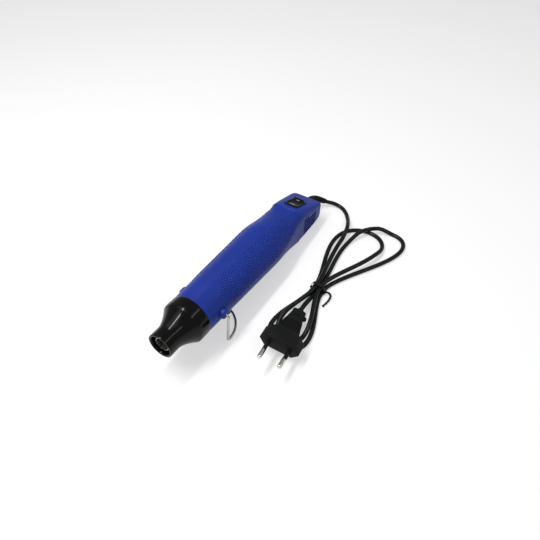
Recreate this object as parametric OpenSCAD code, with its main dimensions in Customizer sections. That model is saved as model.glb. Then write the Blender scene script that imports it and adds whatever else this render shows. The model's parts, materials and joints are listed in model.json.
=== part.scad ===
// Embossing heat tool: a small hot air gun on a wire stand, with a mains lead tied in a hank.
// Millimetres. The tool stands on z = 0 with its nozzle towards -X, propped up on its stand.

/* [Body] */
// Length of the whole tool, from the nozzle mouth to the back of the tail
tool_length = 226; // [215:1:240]
// Length of the black nozzle in front of the blue body
nozzle_length = 38; // [34:1:42]
// Diameter of the body where it meets the nozzle
body_front_d = 39; // [38:0.5:41]
// Diameter of the body at its thickest place
body_rear_d = 44; // [43:0.5:45]
// Wall of the two body shells
shell_wall = 1.8; // [1.4:0.1:2.2]
// Half of the width of the tail
tail_half_w = 17.2; // [16:0.2:18.5]
// Slope of the deck that holds the switch, in degrees
deck_slope = 17.8; // [15:0.2:20]
// Height of the nozzle mouth's centre over the table
nose_height = 34.5; // [33.5:0.25:35.5]
// Angle of the body to the table, nozzle up, in degrees
tilt = 4.1; // [3.7:0.1:4.3]

/* [Nozzle] */
// Outer diameter of the mouth
mouth_d = 22.8; // [21:0.2:24]
// Wall of the nozzle
nozzle_wall = 2.2; // [1.6:0.1:2.6]
// Length of the straight tube behind the mouth
mouth_tube_l = 10.5; // [8:0.5:12]
// Distance from the mouth to the shoulder of the collar
shoulder_s = 26; // [24:0.5:28]
// Diameter of the collar
collar_d = 39.6; // [39:0.2:41]
// Outer diameter of the steel air tube
air_tube_d = 12.6; // [11.6:0.2:13.6]
// Wall of the steel air tube
air_tube_wall = 0.5; // [0.4:0.1:0.8]

/* [Stand] */
// Distance from the back of the nozzle to the stand's pivot
pivot_back = 16; // [14:0.5:18]
// Diameter of the stand's wire
wire_d = 2.4; // [2:0.1:2.8]
// Half of the distance between the two legs, and the radius of the foot
leg_half_w = 25.5; // [24.8:0.1:27]
// Radius of the bends in the wire
wire_bend_r = 2.6; // [2.4:0.1:3.2]
// Diameter of each boss that holds a wire end
boss_d = 9; // [8:0.5:10]
// Gap between the tip of each boss and the leg beside it
boss_gap = 1.5; // [1:0.1:2]
// Lean of the legs towards the nozzle, in degrees
leg_lean = 9.5; // [8.5:0.25:10.5]
// Radial clearance of a shaft in its hole
running_gap = 0.05; // [0.03:0.01:0.08]

/* [Switch] */
// Length of the switch's bezel along the deck
bezel_l = 21; // [20:0.5:22]
// Width of the switch's bezel
bezel_w = 15; // [14:0.5:16]
// Height of the bezel over the deck
bezel_h = 1.2; // [0.8:0.1:1.6]
// Depth of the switch's body below the bezel
switch_depth = 11; // [10:0.5:11.5]
// Angle of the rocker in its off position, in degrees
rocker_angle = 8; // [6:0.5:10]

/* [Vents] */
// Number of air slots on each side of the tail
vent_count = 6; // [4:1:7]
// Distance between two air slots
vent_pitch = 3.4; // [3:0.1:3.6]
// Width of an air slot
vent_w = 1.8; // [1.4:0.1:1.9]
// Length of the longest air slot
vent_l = 24; // [18:1:26]

/* [Motor] */
// Diameter of the motor's can
motor_d = 24.4; // [22:0.2:26]
// Length of the motor's can
motor_l = 30; // [26:0.5:32]
// Diameter of the motor's shaft
shaft_d = 2; // [1.8:0.1:2.4]
// Diameter of the fan
fan_d = 30; // [26:0.5:31]
// Number of blades on the fan
fan_blades = 7; // [5:1:11]

/* [Cord] */
// Diameter of the mains cord
cord_d = 4.2; // [3.8:0.1:4.4]
// Distance between two neighbouring runs in the tie
run_pitch = 4.9; // [4.8:0.05:5.2]
// Distance between the two layers of runs in the tie
layer_pitch = 4.7; // [4.65:0.05:5]

/* [Plug] */
// Width of the plug's face
plug_w = 35.3; // [34.5:0.1:36]
// Thickness of the plug
plug_h = 13.7; // [13.2:0.1:14]
// Width of the flat part of the plug's face, between its slanted ends
plug_flat = 25; // [23:0.5:27]
// Diameter of a pin's bare end
pin_d = 4; // [3.9:0.05:4.1]
// Length of the pins
pin_l = 19; // [18.5:0.1:19.5]
// Length of the insulated part of each pin
sleeve_l = 10; // [9:0.5:10.5]
// Diameter of the insulated part of each pin
sleeve_d = 3.6; // [3.4:0.05:3.65]
// Distance between the pins at the plug's face
pin_spacing = 18.6; // [18.4:0.1:19]

/* [Hidden] */

blue = [0.13, 0.2, 0.6];
black = [0.07, 0.07, 0.08];
steel = [0.75, 0.76, 0.78];

fine = 96;
ring_n = 64;
seat_gap = 0.3;

body_r = body_front_d / 2;
rear_r = body_rear_d / 2;
nose_x = -tool_length / 2 * cos(tilt);
// Where the round barrel ends, the hip of the lower shell ends and the tail rounds off
barrel_s = tool_length - 91;
mid_s = barrel_s - 45;
mid_r = body_r + 0.55 * (rear_r - body_r);
hip_s = tool_length - 43;
round_s = tool_length - 12;
deck_end_h = 3.4;
switch_s = tool_length - 26;
pivot_s = nozzle_length + pivot_back;
boss_half_w = leg_half_w - wire_d / 2 - boss_gap;

// Puts what is drawn along the tool's own axis into its standing place
module standing() {
    translate([nose_x, 0, nose_height]) rotate([0, tilt, 0]) children();
}

// Keeps only what lies over the table
module above_table() {
    intersection() {
        children();
        translate([-tool_length, -tool_length / 2, 0]) cube([2 * tool_length, tool_length, tool_length]);
    }
}

// A disc or tube whose axis is the tool's axis, from one place to another
module barrel(from, to, r) {
    translate([from, 0, 0]) rotate([0, 90, 0]) cylinder(h = to - from, r = r, $fn = fine);
}

module tube(from, to, r, inner) {
    difference() {
        barrel(from, to, r);
        barrel(from - 1, to + 1, inner);
    }
}

// A cylinder across the tool
module across(s, w, from, to, r) {
    translate([s, from, w]) rotate([-90, 0, 0]) cylinder(h = to - from, r = r, $fn = fine);
}

function deck_h(s) = deck_end_h + (tool_length - s) * tan(deck_slope);
function power(v, n) = sign(v) * pow(abs(v), 2 / n);

// Stations of the body: place, half width, height over and under the axis, how square the
// section is over and under the axis, and how far the lower corners flare out
function stations(wall) = [
    [nozzle_length - (wall > 0 ? 1 : 0), body_r, body_r, body_r, 2, 2, 0],
    [mid_s, mid_r, mid_r, mid_r, 2, 2, 0],
    [barrel_s, rear_r, rear_r, rear_r + 0.1, 2, 2, 0],
    [barrel_s + 9, rear_r - 0.5, rear_r - 0.9, rear_r + 0.3, 2, 2.1, 0.2],
    [barrel_s + 20, rear_r - 1.9, rear_r - 2.6, rear_r + 0.4, 2, 2.3, 1],
    [barrel_s + 31, rear_r - 3.3, rear_r - 4.4, rear_r + 0.4, 2.2, 2.7, 2.4],
    [barrel_s + 41, rear_r - 4.3, rear_r - 5.8, rear_r + 0.4, 2.7, 3.2, 4],
    [hip_s, tail_half_w + 0.1, deck_h(hip_s) - 1.2, rear_r + 0.4, 3.2, 3.6, 5],
    [hip_s + 0.6, tail_half_w, deck_h(hip_s + 0.6), rear_r - 1.2, 3.8, 5, 2.2],
    [hip_s + 10, tail_half_w, deck_h(hip_s + 10), rear_r - 1.5, 4.6, 6, 1],
    [hip_s + 22, tail_half_w, deck_h(hip_s + 22), rear_r - 2, 5, 6, 0.4],
    [round_s, tail_half_w - 0.1, deck_h(round_s), rear_r - 2.6, 5, 6, 0],
    [round_s + 6, tail_half_w - 0.4, deck_h(round_s + 6), rear_r - 3.1, 5, 5.5, 0],
    [round_s + 10, tail_half_w - 1, deck_h(round_s + 10) - 0.1, rear_r - 3.7, 4.8, 5, 0],
    [tool_length - wall, tail_half_w - 2.4, deck_end_h - 0.6 + wall * tan(deck_slope), rear_r - 4.6,
            4.2, 4.5, 0]];

// One ring of a station, drawn in by the wall
function ring(st, wall) = [for (i = [0:ring_n - 1])
    let (a = 360 * i / ring_n, c = cos(a), d = sin(a), up = d >= 0, n = up ? st[4] : st[5])
    [st[0], (st[1] - wall + (up ? 0 : st[6] * d * d)) * power(c, n),
        ((up ? st[2] : st[3]) - wall) * power(d, n)]];

// Closed solid through a list of rings
module loft(rings) {
    n = len(rings[0]);
    m = len(rings);
    points = [for (r = rings) each r];
    sides = [for (j = [0:m - 2]) for (i = [0:n - 1]) let (k = (i + 1) % n)
        each [[j * n + i, (j + 1) * n + k, j * n + k], [j * n + i, (j + 1) * n + i, (j + 1) * n + k]]];
    caps = [[for (i = [0:n - 1]) i], [for (i = [n - 1:-1:0]) (m - 1) * n + i]];
    polyhedron(points, concat(sides, caps));
}

module body_solid() {
    loft([for (st = stations(0)) ring(st, 0)]);
}

module body_hollow() {
    loft([for (st = stations(shell_wall)) ring(st, shell_wall)]);
}

// One half of the space: over the axis when side is 1, under it when side is -1
module half(side) {
    big = 2 * tool_length;
    translate([-big / 4, -big / 2, side > 0 ? 0 : -big]) cube(big);
}

// Inner radius of the round barrel at a place along it
function shell_r(s) = lookup(s, [[nozzle_length, body_r], [mid_s, mid_r], [barrel_s, rear_r]]) - shell_wall;

// Screws that hold the two shells together: place along the tool and across it
front_screw_s = pivot_s + 12;
rear_screw_s = barrel_s + 11;
screw_places = [[front_screw_s, 13.5], [front_screw_s, -13.5], [rear_screw_s, 13], [rear_screw_s, -13]];
screw_r = 1.25;
screw_seat = -11;
screw_top = 9;
head_r = 2.6;
post_r = 3;

module shell_posts(side, r) {
    for (p = screw_places) translate([p.x, p.y, side > 0 ? 0 : -2 * rear_r])
        cylinder(h = 2 * rear_r, r = r, $fn = fine);
}

module slot_cut(from, to, w) {
    for (side = [-1, 1]) translate([0, side * tail_half_w, w]) {
        translate([(from + to) / 2, 0, 0]) cube([to - from - vent_w, 12, vent_w], center = true);
        for (s = [from, to]) translate([s + (s == from ? vent_w : -vent_w) / 2, 6, 0])
            rotate([90, 0, 0]) cylinder(h = 12, r = vent_w / 2, $fn = 24);
    }
}

vent_s = hip_s + 7;
vent_low = -14;
module vents() {
    for (i = [0:vent_count - 1])
        let (w = vent_low + i * vent_pitch, room = tool_length - 8 - (w + 5) / tan(deck_slope))
        slot_cut(vent_s, min(vent_s + vent_l, max(vent_s + 9, w > 0 ? room : vent_s + vent_l)), w);
}

// Places what is drawn on the deck, x towards the tail and z out of the deck
module on_deck() {
    translate([switch_s, 0, deck_h(switch_s)]) rotate([0, deck_slope, 0]) children();
}

gland_w = -4.8;
gland_r = 4.2;
flange_l = 2;
board_s = 152;
board_l = 20;
board_w = 18;
board_top = -8.4;
board_h = 1.6;
clamp_s = tool_length - 14;
clamp_l = 6;
clamp_w = 17;
clamp_screw_y = 5.8;

module upper_shell() {
    color(blue) above_table() standing() difference() {
        union() {
            difference() {
                intersection() {
                    body_solid();
                    half(1);
                }
                body_hollow();
            }
            intersection() {
                shell_posts(1, post_r);
                body_solid();
                half(1);
            }
        }
        translate([0, 0, -1]) for (p = screw_places) translate([p.x, p.y, 0])
            cylinder(h = screw_top + 2, r = screw_r + running_gap, $fn = fine);
        across(pivot_s, 0, -2 * body_r, 2 * body_r, boss_d / 2 + seat_gap);
        on_deck() translate([0, 0, -4]) cube([bezel_l - 1.6, bezel_w - 1.6, 12], center = true);
        vents();
    }
}

module lower_shell() {
    color(blue) above_table() standing() difference() {
        union() {
            difference() {
                intersection() {
                    body_solid();
                    half(-1);
                }
                body_hollow();
            }
            intersection() {
                union() {
                    shell_posts(-1, post_r + 0.9);
                    for (s = [board_s + 2, board_s + board_l - 4]) translate([s, -board_w / 2, -2 * rear_r])
                        cube([2, board_w, 2 * rear_r + board_top - board_h]);
                    translate([clamp_s - clamp_l / 2, -clamp_w / 2, -2 * rear_r])
                        cube([clamp_l, clamp_w, 2 * rear_r + gland_w]);
                }
                body_solid();
                half(-1);
            }
            for (side = [-1, 1]) across(pivot_s, 0, side > 0 ? shell_r(pivot_s) - 0.6 : -boss_half_w,
                side > 0 ? boss_half_w : 0.6 - shell_r(pivot_s), boss_d / 2);
        }
        for (p = screw_places) translate([p.x, p.y, 0]) {
            translate([0, 0, screw_seat - 1])
                cylinder(h = 2 - screw_seat, r = screw_r + running_gap, $fn = fine);
            translate([0, 0, -2 * rear_r])
                cylinder(h = 2 * rear_r + screw_seat, r = head_r + seat_gap, $fn = fine);
        }
        across(pivot_s, 0, -2 * body_r, 2 * body_r, wire_d / 2 + running_gap);
        translate([0, 0, gland_w]) barrel(tool_length - 6, tool_length + 2, gland_r);
        translate([0, 0, gland_w]) barrel(clamp_s - clamp_l, clamp_s + clamp_l, cord_d / 2);
        for (side = [-1, 1]) translate([clamp_s, side * clamp_screw_y, gland_w - 6])
            cylinder(h = 12, r = 1, $fn = fine);
        vents();
    }
}

// Outline of the nozzle's outside from the mouth to the back edge of the collar
collar_r = collar_d / 2;
shoulder_r = collar_r - 0.7;
mouth_r = mouth_d / 2;
function ogee_r(t) = mouth_r + (shoulder_r - mouth_r) * pow(t, 1.6);
nozzle_outline = concat(
    [[0.8, mouth_r - 0.5], [0, mouth_r - 0.15], [0.3, mouth_r], [mouth_tube_l, mouth_r]],
    [for (i = [1:11]) let (t = i / 12) [mouth_tube_l + (shoulder_s - mouth_tube_l) * t, ogee_r(t)]],
    [[shoulder_s, shoulder_r], [shoulder_s + 1.2, collar_r - 0.2], [shoulder_s + 3, collar_r]]);
spigot_l = 8;
spigot_r = body_r - shell_wall - 0.2;

// Turns an outline of place and radius about the tool's axis
module turned(outline) {
    rotate([0, 90, 0]) rotate([0, 0, 180]) rotate_extrude($fn = fine)
        polygon([for (p = outline) [p.y, p.x]]);
}

module nozzle_shroud() {
    inner = [for (p = nozzle_outline) [p.x + 0.2, p.y - nozzle_wall]];
    color(black) standing() difference() {
        turned(concat([[0.8, 0]], nozzle_outline, [[nozzle_length, collar_r], [nozzle_length, spigot_r],
            [nozzle_length + spigot_l, spigot_r], [nozzle_length + spigot_l, 0]]));
        turned(concat([[-1, 0], [-1, mouth_r - nozzle_wall]],
            [for (i = [3:len(inner) - 2]) inner[i]], [[shoulder_s + 3, spigot_r - nozzle_wall],
            [nozzle_length + spigot_l + 1, spigot_r - nozzle_wall], [nozzle_length + spigot_l + 1, 0]]));
    }
}

air_tube_s = 2.5;
air_tube_end = 80;
air_tube_r = air_tube_d / 2;
module air_tube() {
    color(steel) standing() tube(air_tube_s, air_tube_end, air_tube_r, air_tube_r - air_tube_wall);
}

spider_s = nozzle_length - 6;
module tube_spider() {
    outer = spigot_r - nozzle_wall;
    color(steel) standing() {
        tube(spider_s, spider_s + 3, outer, outer - 1);
        difference() {
            union() {
                tube(spider_s, spider_s + 3, air_tube_r + 1.2, air_tube_r);
                for (a = [90, 210, 330]) rotate([a, 0, 0])
                    translate([spider_s, -0.6, air_tube_r + 0.4]) cube([3, 1.2, outer - air_tube_r - 0.9]);
            }
            barrel(spider_s - 1, spider_s + 4, air_tube_r);
        }
    }
}

mica_r = air_tube_r - air_tube_wall - 0.1;
module mica_sleeve() {
    color([0.8, 0.72, 0.55]) standing() tube(9, air_tube_end - 3, mica_r, mica_r - 0.5);
}

former_from = 11;
former_to = air_tube_end - 5;
former_r = 3.3;
module heater_former() {
    color([0.85, 0.8, 0.7]) standing() for (a = [0, 90]) rotate([a, 0, 0]) {
        translate([former_from, -0.3, -former_r]) cube([former_to - former_from, 0.6, 2 * former_r]);
        for (s = [former_from, former_to - 3])
            translate([s, -0.3, 0.6 - mica_r]) cube([3, 0.6, 2 * mica_r - 1.2]);
    }
}

// Swept tube through a list of points, flat at both ends
function unit(v) = v / norm(v);
function tangent(p, i) = unit(p[min(i + 1, len(p) - 1)] - p[max(i - 1, 0)]);
function tube_ring(p, i, r, sides, up) = let (t = tangent(p, i), a = unit(cross(up, t)), b = cross(t, a))
    [for (k = [0:sides - 1]) let (q = 360 * (k + 0.5) / sides) p[i] + r * (cos(q) * a + sin(q) * b)];
module swept(p, r, sides, up = [0, 0, 1]) {
    loft([for (i = [0:len(p) - 1]) tube_ring(p, i, r, sides, up)]);
}

coil_turns = 14;
coil_r = former_r + 0.75;
module heater_coil() {
    from = former_from + 4;
    to = former_to - 4;
    path = [for (i = [0:12 * coil_turns]) let (a = 30 * i, s = from + (to - from) * i / (12 * coil_turns))
        [s, coil_r * cos(a), coil_r * sin(a)]];
    color([0.55, 0.5, 0.48]) standing() swept(path, 0.35, 5, [1, 0, 0]);
}

funnel_s = air_tube_end - 12;
funnel_end = air_tube_end + 4;
funnel_r = 15.6;
funnel_wall = 1.4;
flange_w = 2;
module air_funnel() {
    rim = shell_r(funnel_end) - seat_gap;
    color([0.3, 0.3, 0.32]) standing() turned([[funnel_s, air_tube_r], [funnel_s, air_tube_r + funnel_wall],
        [air_tube_end - 7, air_tube_r + funnel_wall], [funnel_end - flange_w, funnel_r + funnel_wall],
        [funnel_end - flange_w, rim], [funnel_end, rim], [funnel_end, funnel_r],
        [air_tube_end, air_tube_r + 0.2], [air_tube_end, air_tube_r]]);
}

// Thermal cut-out on the air tube, with two flat leads that stop short of the funnel
cutout_l = 8;
cutout_lead = 3;
cutout_s = funnel_s - cutout_l - 2;
module thermal_cutout() {
    lead_l = funnel_s - seat_gap - cutout_s + cutout_lead;
    color([0.85, 0.85, 0.8]) standing() {
        translate([cutout_s, -2.5, air_tube_r]) cube([cutout_l, 5, 3]);
        for (y = [-1.5, 0.7])
            translate([cutout_s - cutout_lead, y, air_tube_r + 1]) cube([lead_l, 0.8, 0.4]);
    }
}

fan_s = funnel_end + 4;
fan_l = 10;
duct_end = funnel_end + 20;
module fan_impeller() {
    color([0.9, 0.9, 0.88]) standing() difference() {
        union() {
            barrel(fan_s, fan_s + fan_l, 4.2);
            intersection() {
                barrel(fan_s, fan_s + fan_l, fan_d / 2);
                for (i = [0:fan_blades - 1]) rotate([360 * i / fan_blades, 0, 0])
                    translate([fan_s + fan_l / 2, 0, 0]) rotate([0, 0, 38])
                    translate([-6, -0.6, 3]) cube([12, 1.2, fan_d / 2]);
            }
        }
        barrel(fan_s - 1, fan_s + fan_l + 1, shaft_d / 2);
    }
}

shaft_in = 8;
module motor_shaft() {
    color(steel) standing() barrel(fan_s - 1, duct_end + shaft_in - 0.5, shaft_d / 2);
}

module fan_duct() {
    rim = shell_r(funnel_end) - seat_gap;
    color([0.3, 0.3, 0.32]) standing() {
        tube(funnel_end, duct_end - 2, funnel_r + funnel_wall, funnel_r);
        tube(funnel_end, funnel_end + flange_w, rim, funnel_r + 1);
        difference() {
            barrel(duct_end - 2, duct_end, funnel_r + funnel_wall);
            barrel(duct_end - 3, duct_end + 1, 3.2);
            for (a = [0:45:315]) rotate([a, 0, 0]) translate([0, 0, 10.5])
                barrel(duct_end - 3, duct_end + 1, 3);
        }
    }
}

motor_r = motor_d / 2;
motor_end = duct_end + motor_l;
module motor() {
    color(steel) standing() difference() {
        union() {
            barrel(duct_end, motor_end, motor_r);
            barrel(duct_end - 1.5, duct_end, 3);
        }
        barrel(duct_end - 2, duct_end + shaft_in, shaft_d / 2 + running_gap);
    }
}

module motor_endcap() {
    color([0.12, 0.12, 0.13]) standing() {
        barrel(motor_end, motor_end + 4, motor_r - 0.6);
        barrel(motor_end + 4, motor_end + 6, 3.4);
    }
    color([0.8, 0.7, 0.4]) standing() for (side = [-1, 1])
        translate([motor_end + 4, side * brush_y - 1, -0.3]) cube([4, 2, 0.6]);
}

// Ring that holds the motor in the body, with holes that let the air past
module motor_clamp() {
    at = duct_end + motor_l / 3;
    color([0.16, 0.16, 0.18]) standing() difference() {
        barrel(at, at + 5, shell_r(at) - seat_gap);
        barrel(at - 1, at + 6, motor_r);
        for (a = [0:36:324]) rotate([a, 0, 0]) translate([0, 0, (motor_r + shell_r(at)) / 2])
            barrel(at - 1, at + 6, 2.2);
    }
}

module rectifier_board() {
    color([0.1, 0.4, 0.2]) standing() translate([board_s, -board_w / 2, board_top - board_h])
        cube([board_l, board_w, board_h]);
}

module rectifier_parts() {
    color([0.1, 0.1, 0.1]) standing() {
        for (i = [0:3]) translate([board_s + 2.5 + 3.2 * i, -6, board_top]) {
            translate([0, 0, 1.3]) rotate([-90, 0, 0]) cylinder(h = 5, r = 1.3, $fn = 32);
            translate([-0.3, -1, 0]) cube([0.6, 7, 1.3]);
        }
        translate([board_s + 9, 5, board_top]) cylinder(h = 8, r = 3.2, $fn = 48);
    }
}

// Switch: a bezel on the deck, a box under it and a rocker on two stubs
well_l = 17.9;
well_w = 11.5;
pivot_depth = 1.6;
box_l = bezel_l - 2.2;
box_w = bezel_w - 2.2;
module switch_body() {
    color(black) standing() on_deck() difference() {
        union() {
            translate([-bezel_l / 2, -bezel_w / 2, 0.1]) cube([bezel_l, bezel_w, bezel_h - 0.1]);
            translate([-box_l / 2, -box_w / 2, -switch_depth]) cube([box_l, box_w, switch_depth + 0.2]);
        }
        translate([-well_l / 2, -well_w / 2, 2 - switch_depth]) cube([well_l, well_w, switch_depth + 2]);
        translate([0, 0, -pivot_depth]) across(0, 0, -bezel_w, bezel_w, 1 + running_gap);
    }
}

module switch_rocker() {
    half_l = well_l / 2 - 0.75;
    half_w = well_w / 2 - 0.3;
    profile = [[-half_l, 1], [-half_l, 3.5], [-half_l / 2, 2.6], [0, 2.2], [half_l / 2, 2.6], [half_l, 3.5],
        [half_l, 1], [4, -3], [-4, -3]];
    color(black) standing() on_deck() translate([0, 0, -pivot_depth]) rotate([0, -rocker_angle, 0]) {
        translate([0, half_w, 0]) rotate([90, 0, 0]) linear_extrude(2 * half_w) polygon(profile);
        across(0, 0, -box_w / 2, box_w / 2, 1);
    }
}

terminal_l = 7;
module switch_terminals() {
    color([0.8, 0.7, 0.4]) standing() on_deck() for (x = [-6, 0])
        translate([x - 2.4, -0.4, -switch_depth - terminal_l]) cube([4.8, 0.8, terminal_l]);
}

// Points of a curve from a to d that leaves a towards b and reaches d from c
function bow(a, b, c, d) = [for (i = [0:8]) let (t = i / 8, u = 1 - t)
    u * u * u * a + 3 * u * u * t * b + 3 * u * t * t * c + t * t * t * d];

brush_y = 8;
motor_wire_y = board_w / 2 - 1.7;
module motor_wires() {
    color([0.7, 0.1, 0.1]) standing() for (side = [-1, 1])
        swept(bow([motor_end + 8, side * brush_y, 0], [motor_end + 13, side * brush_y, 0],
            [board_s - 2, side * motor_wire_y, board_top + 7],
            [board_s + 1.5, side * motor_wire_y, board_top + 0.7]), 0.7, 6);
}

terminal_drop = switch_depth + terminal_l;
terminal_x = switch_s - terminal_drop * sin(deck_slope);
terminal_w = deck_h(switch_s) - terminal_drop * cos(deck_slope);
sheath_end = tool_length - 24;
module mains_wires() {
    color(black) standing() translate([0, 0, gland_w])
        barrel(sheath_end, tool_length - shell_wall - flange_l, cord_d / 2);
    color([0.35, 0.25, 0.2]) standing() for (i = [0, 1])
        swept(bow([sheath_end, 1.1 - 2.2 * i, gland_w], [sheath_end - 6, 3 - 6 * i, gland_w - 2],
            [terminal_x - 6 * i, 2 - 4 * i, terminal_w - 7],
            [terminal_x - 5.7 * i, 0, terminal_w + 1.9 * i - 0.4]), 0.8, 6, [0, 1, 0]);
    color([0.2, 0.3, 0.6]) standing()
        swept(bow([board_s + board_l - 1.5, 6, board_top + 0.8], [board_s + board_l + 5, 7, board_top + 3],
            [sheath_end - 9, 4, gland_w], [sheath_end, 1.1, gland_w]), 0.8, 6);
}

clamp_top = gland_w + cord_d / 2 + 2.2;
module cord_clamp() {
    color(black) standing() difference() {
        translate([clamp_s - clamp_l / 2, -clamp_w / 2, gland_w + seat_gap])
            cube([clamp_l, clamp_w, clamp_top - gland_w - seat_gap]);
        translate([0, 0, gland_w]) barrel(clamp_s - clamp_l, clamp_s + clamp_l, cord_d / 2);
        for (side = [-1, 1]) translate([clamp_s, side * clamp_screw_y, gland_w])
            cylinder(h = 8, r = 1.1, $fn = fine);
    }
}

// A pan-head screw whose head sits on z = 0, with its shank along -Z and a cross in the head
module screw(length, r, head) {
    difference() {
        union() {
            cylinder(h = 1.8, r = head, $fn = fine);
            translate([0, 0, -length]) cylinder(h = length, r = r, $fn = fine);
        }
        for (a = [0, 90]) rotate([0, 0, a]) translate([-1.5, -0.3, 1]) cube([3, 0.6, 1]);
    }
}

module clamp_screws() {
    color(steel) standing() for (side = [-1, 1])
        translate([clamp_s, side * clamp_screw_y, clamp_top]) screw(clamp_top - gland_w + 5, 1, 2);
}

module shell_screws() {
    color(steel) standing() for (p = screw_places) translate([p.x, p.y, screw_seat])
        mirror([0, 0, 1]) screw(screw_top - screw_seat, screw_r, head_r);
}

// Point of the tool's frame in the standing place
function stand_pt(p) = [nose_x + p.x * cos(tilt) + p.z * sin(tilt), p.y,
    nose_height - p.x * sin(tilt) + p.z * cos(tilt)];
pivot_pt = stand_pt([pivot_s, 0, 0]);
wire_r = wire_d / 2;
// The foot starts inside the ends of the legs' bends, so it is a little thinner than they are
foot_r = wire_r - 0.02;
foot_lap = 0.1;
// How far down its own line each leg is straight, and where the foot's half circle starts
leg_drop = (pivot_pt.z - wire_r - wire_bend_r * (1 + sin(leg_lean))) / cos(leg_lean);
foot_x = pivot_pt.x + wire_bend_r * cos(leg_lean) - leg_drop * sin(leg_lean);
pin_in = shell_r(pivot_s) + 0.2;

// A bend of the wire about the Z axis
module wire_bend(angle, r, thick = wire_r) {
    rotate_extrude(angle = angle, $fn = fine) translate([r, 0]) circle(r = thick, $fn = 48);
}

module stand_leg() {
    straight = leg_half_w - wire_bend_r;
    translate([0, straight, 0]) rotate([90, 0, 0]) cylinder(h = straight - pin_in, r = wire_r, $fn = 48);
    translate([0, straight, -wire_bend_r]) rotate([90, 0, 90]) wire_bend(90, wire_bend_r);
    translate([0, leg_half_w, -leg_drop]) cylinder(h = leg_drop - wire_bend_r, r = wire_r, $fn = 48);
    translate([wire_bend_r, leg_half_w, -leg_drop]) rotate([90, 0, 0])
        rotate([0, 0, 180]) wire_bend(90 + leg_lean, wire_bend_r);
}

module stand_wire() {
    color(steel) {
        translate(pivot_pt) rotate([0, leg_lean, 0]) {
            stand_leg();
            mirror([0, 1, 0]) stand_leg();
        }
        translate([foot_x - foot_lap, 0, wire_r]) rotate([0, 0, -90]) wire_bend(180, leg_half_w, foot_r);
    }
}

// Strain relief: a ribbed sleeve that leaves the tail along its axis and bends down and aside
relief_l = 26;
relief_lead = 4;
relief_bend_r = 15;
relief_turn = 55;
relief_roll = 25;
relief_root_r = 4.2;
relief_end_r = 2.6;
relief_ribs = 9;
function relief_r(u) = relief_end_r + (relief_root_r - relief_end_r) * (1 - pow(u, 1.5));
bend_l = relief_bend_r * relief_turn * PI / 180;
function relief_turned(a) = min(max(a - relief_lead, 0) / bend_l, 1) * relief_turn;
function relief_flat(a) = let (q = relief_turned(a), rest = max(a - relief_lead - bend_l, 0))
    [min(a, relief_lead) + relief_bend_r * sin(q) + rest * cos(q),
        -relief_bend_r * (1 - cos(q)) - rest * sin(q)];
function relief_pt(a) = let (f = relief_flat(a))
    [tool_length + f.x, f.y * cos(relief_roll), gland_w + f.y * sin(relief_roll)];

module relief_disc(a, h, r) {
    translate(relief_pt(a)) rotate([relief_roll, 0, 0]) rotate([0, 0, -relief_turned(a)])
        rotate([0, 90, 0]) translate([0, 0, -h / 2]) cylinder(h = h, r = r, $fn = 48);
}

module strain_relief() {
    pitch = relief_l / relief_ribs;
    color(black) standing() {
        translate([0, 0, gland_w])
            barrel(tool_length - shell_wall - flange_l, tool_length - shell_wall, gland_r + 1.5);
        translate([0, 0, gland_w])
            barrel(tool_length - shell_wall, tool_length + 0.5, gland_r - running_gap);
        for (i = [0:relief_ribs - 1]) {
            r = relief_r(i / (relief_ribs - 1));
            relief_disc((i + 0.3) * pitch, 0.6 * pitch, r);
            relief_disc((i + 0.75) * pitch, 0.7 * pitch, r - 0.35);
        }
        relief_disc(relief_l - 0.4, 0.8, relief_end_r - 0.1);
    }
}

// The lead from the strain relief to the hank: points chosen by hand, the ends worked out
cord_r = cord_d / 2;
relief_end = stand_pt(relief_pt(relief_l));
relief_dir = unit(stand_pt(relief_pt(relief_l)) - stand_pt(relief_pt(relief_l - 1)));

// Hank: loops through a tie, each a smooth leaf whose two strands leave the tie side by side
tie_x = 25;
tie_y = -63;
tie_half = 5;
leaf = 1.54;
// Slots in the tie, across it and up from the table in layers
slots = [[run_pitch / 2, 1], [-run_pitch / 2, 1], [run_pitch, 0], [-run_pitch, 0], [0, 0]];
function smooth(t) = let (c = min(max(t, 0), 1)) c * c * (3 - 2 * c);
function leaf_out(t) = pow(sin(180 * t), 2);
function loop_pt(t, dir, l, w, shift, from, to, lift) = let (o = leaf_out(t), m = smooth(t))
    [tie_x + dir * (tie_half + l * o),
        tie_y + w * leaf * sin(360 * t) * o + shift * pow(o, 1.3)
            + slots[from].x * (1 - m) + slots[to].x * m,
        cord_r + layer_pitch * lift];
loop_rings = 24;

function low_loop(t, l, w, shift, from, to, lift) = loop_pt(t, -1, l, w, shift, from, to, lift);
function high_loop(t, l, w, shift, from, to, lift) = loop_pt(t, 1, l, -w, shift, from, to, lift);

// How high each loop lies at a place t round it, in layers
function inner_low_lift(t) = 1 - smooth((t - 0.26) / 0.14) + smooth((t - 0.6) / 0.14);
function inner_high_lift(t) = 1 - smooth((t - 0.29) / 0.1);
function outer_high_lift(t) = smooth((t - 0.5) / 0.07) * (1 - smooth((t - 0.63) / 0.08));
function supply_lift(t) = t > 0.12 ? 1 - pow(sin(180 * (t - 0.12) / 0.26), 2) : 1;

function inner_low(t) = low_loop(t, 58, 11.8, -3, 0, 1, inner_low_lift(t));
function outer_low(t) = low_loop(t, 66, 15.6, -3, 2, 3, 0);
function inner_high(t) = high_loop(t, 88, 21, -9, 1, 2, inner_high_lift(t));
function outer_high(t) = high_loop(t, 98, 21.5, -26, 3, 4, outer_high_lift(t));
function supply(t) = loop_pt(t, 1, 92, 19.8, -17.5, 0, 0, supply_lift(t));
supply_t = 0.3;
supply_rings = 9;

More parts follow.
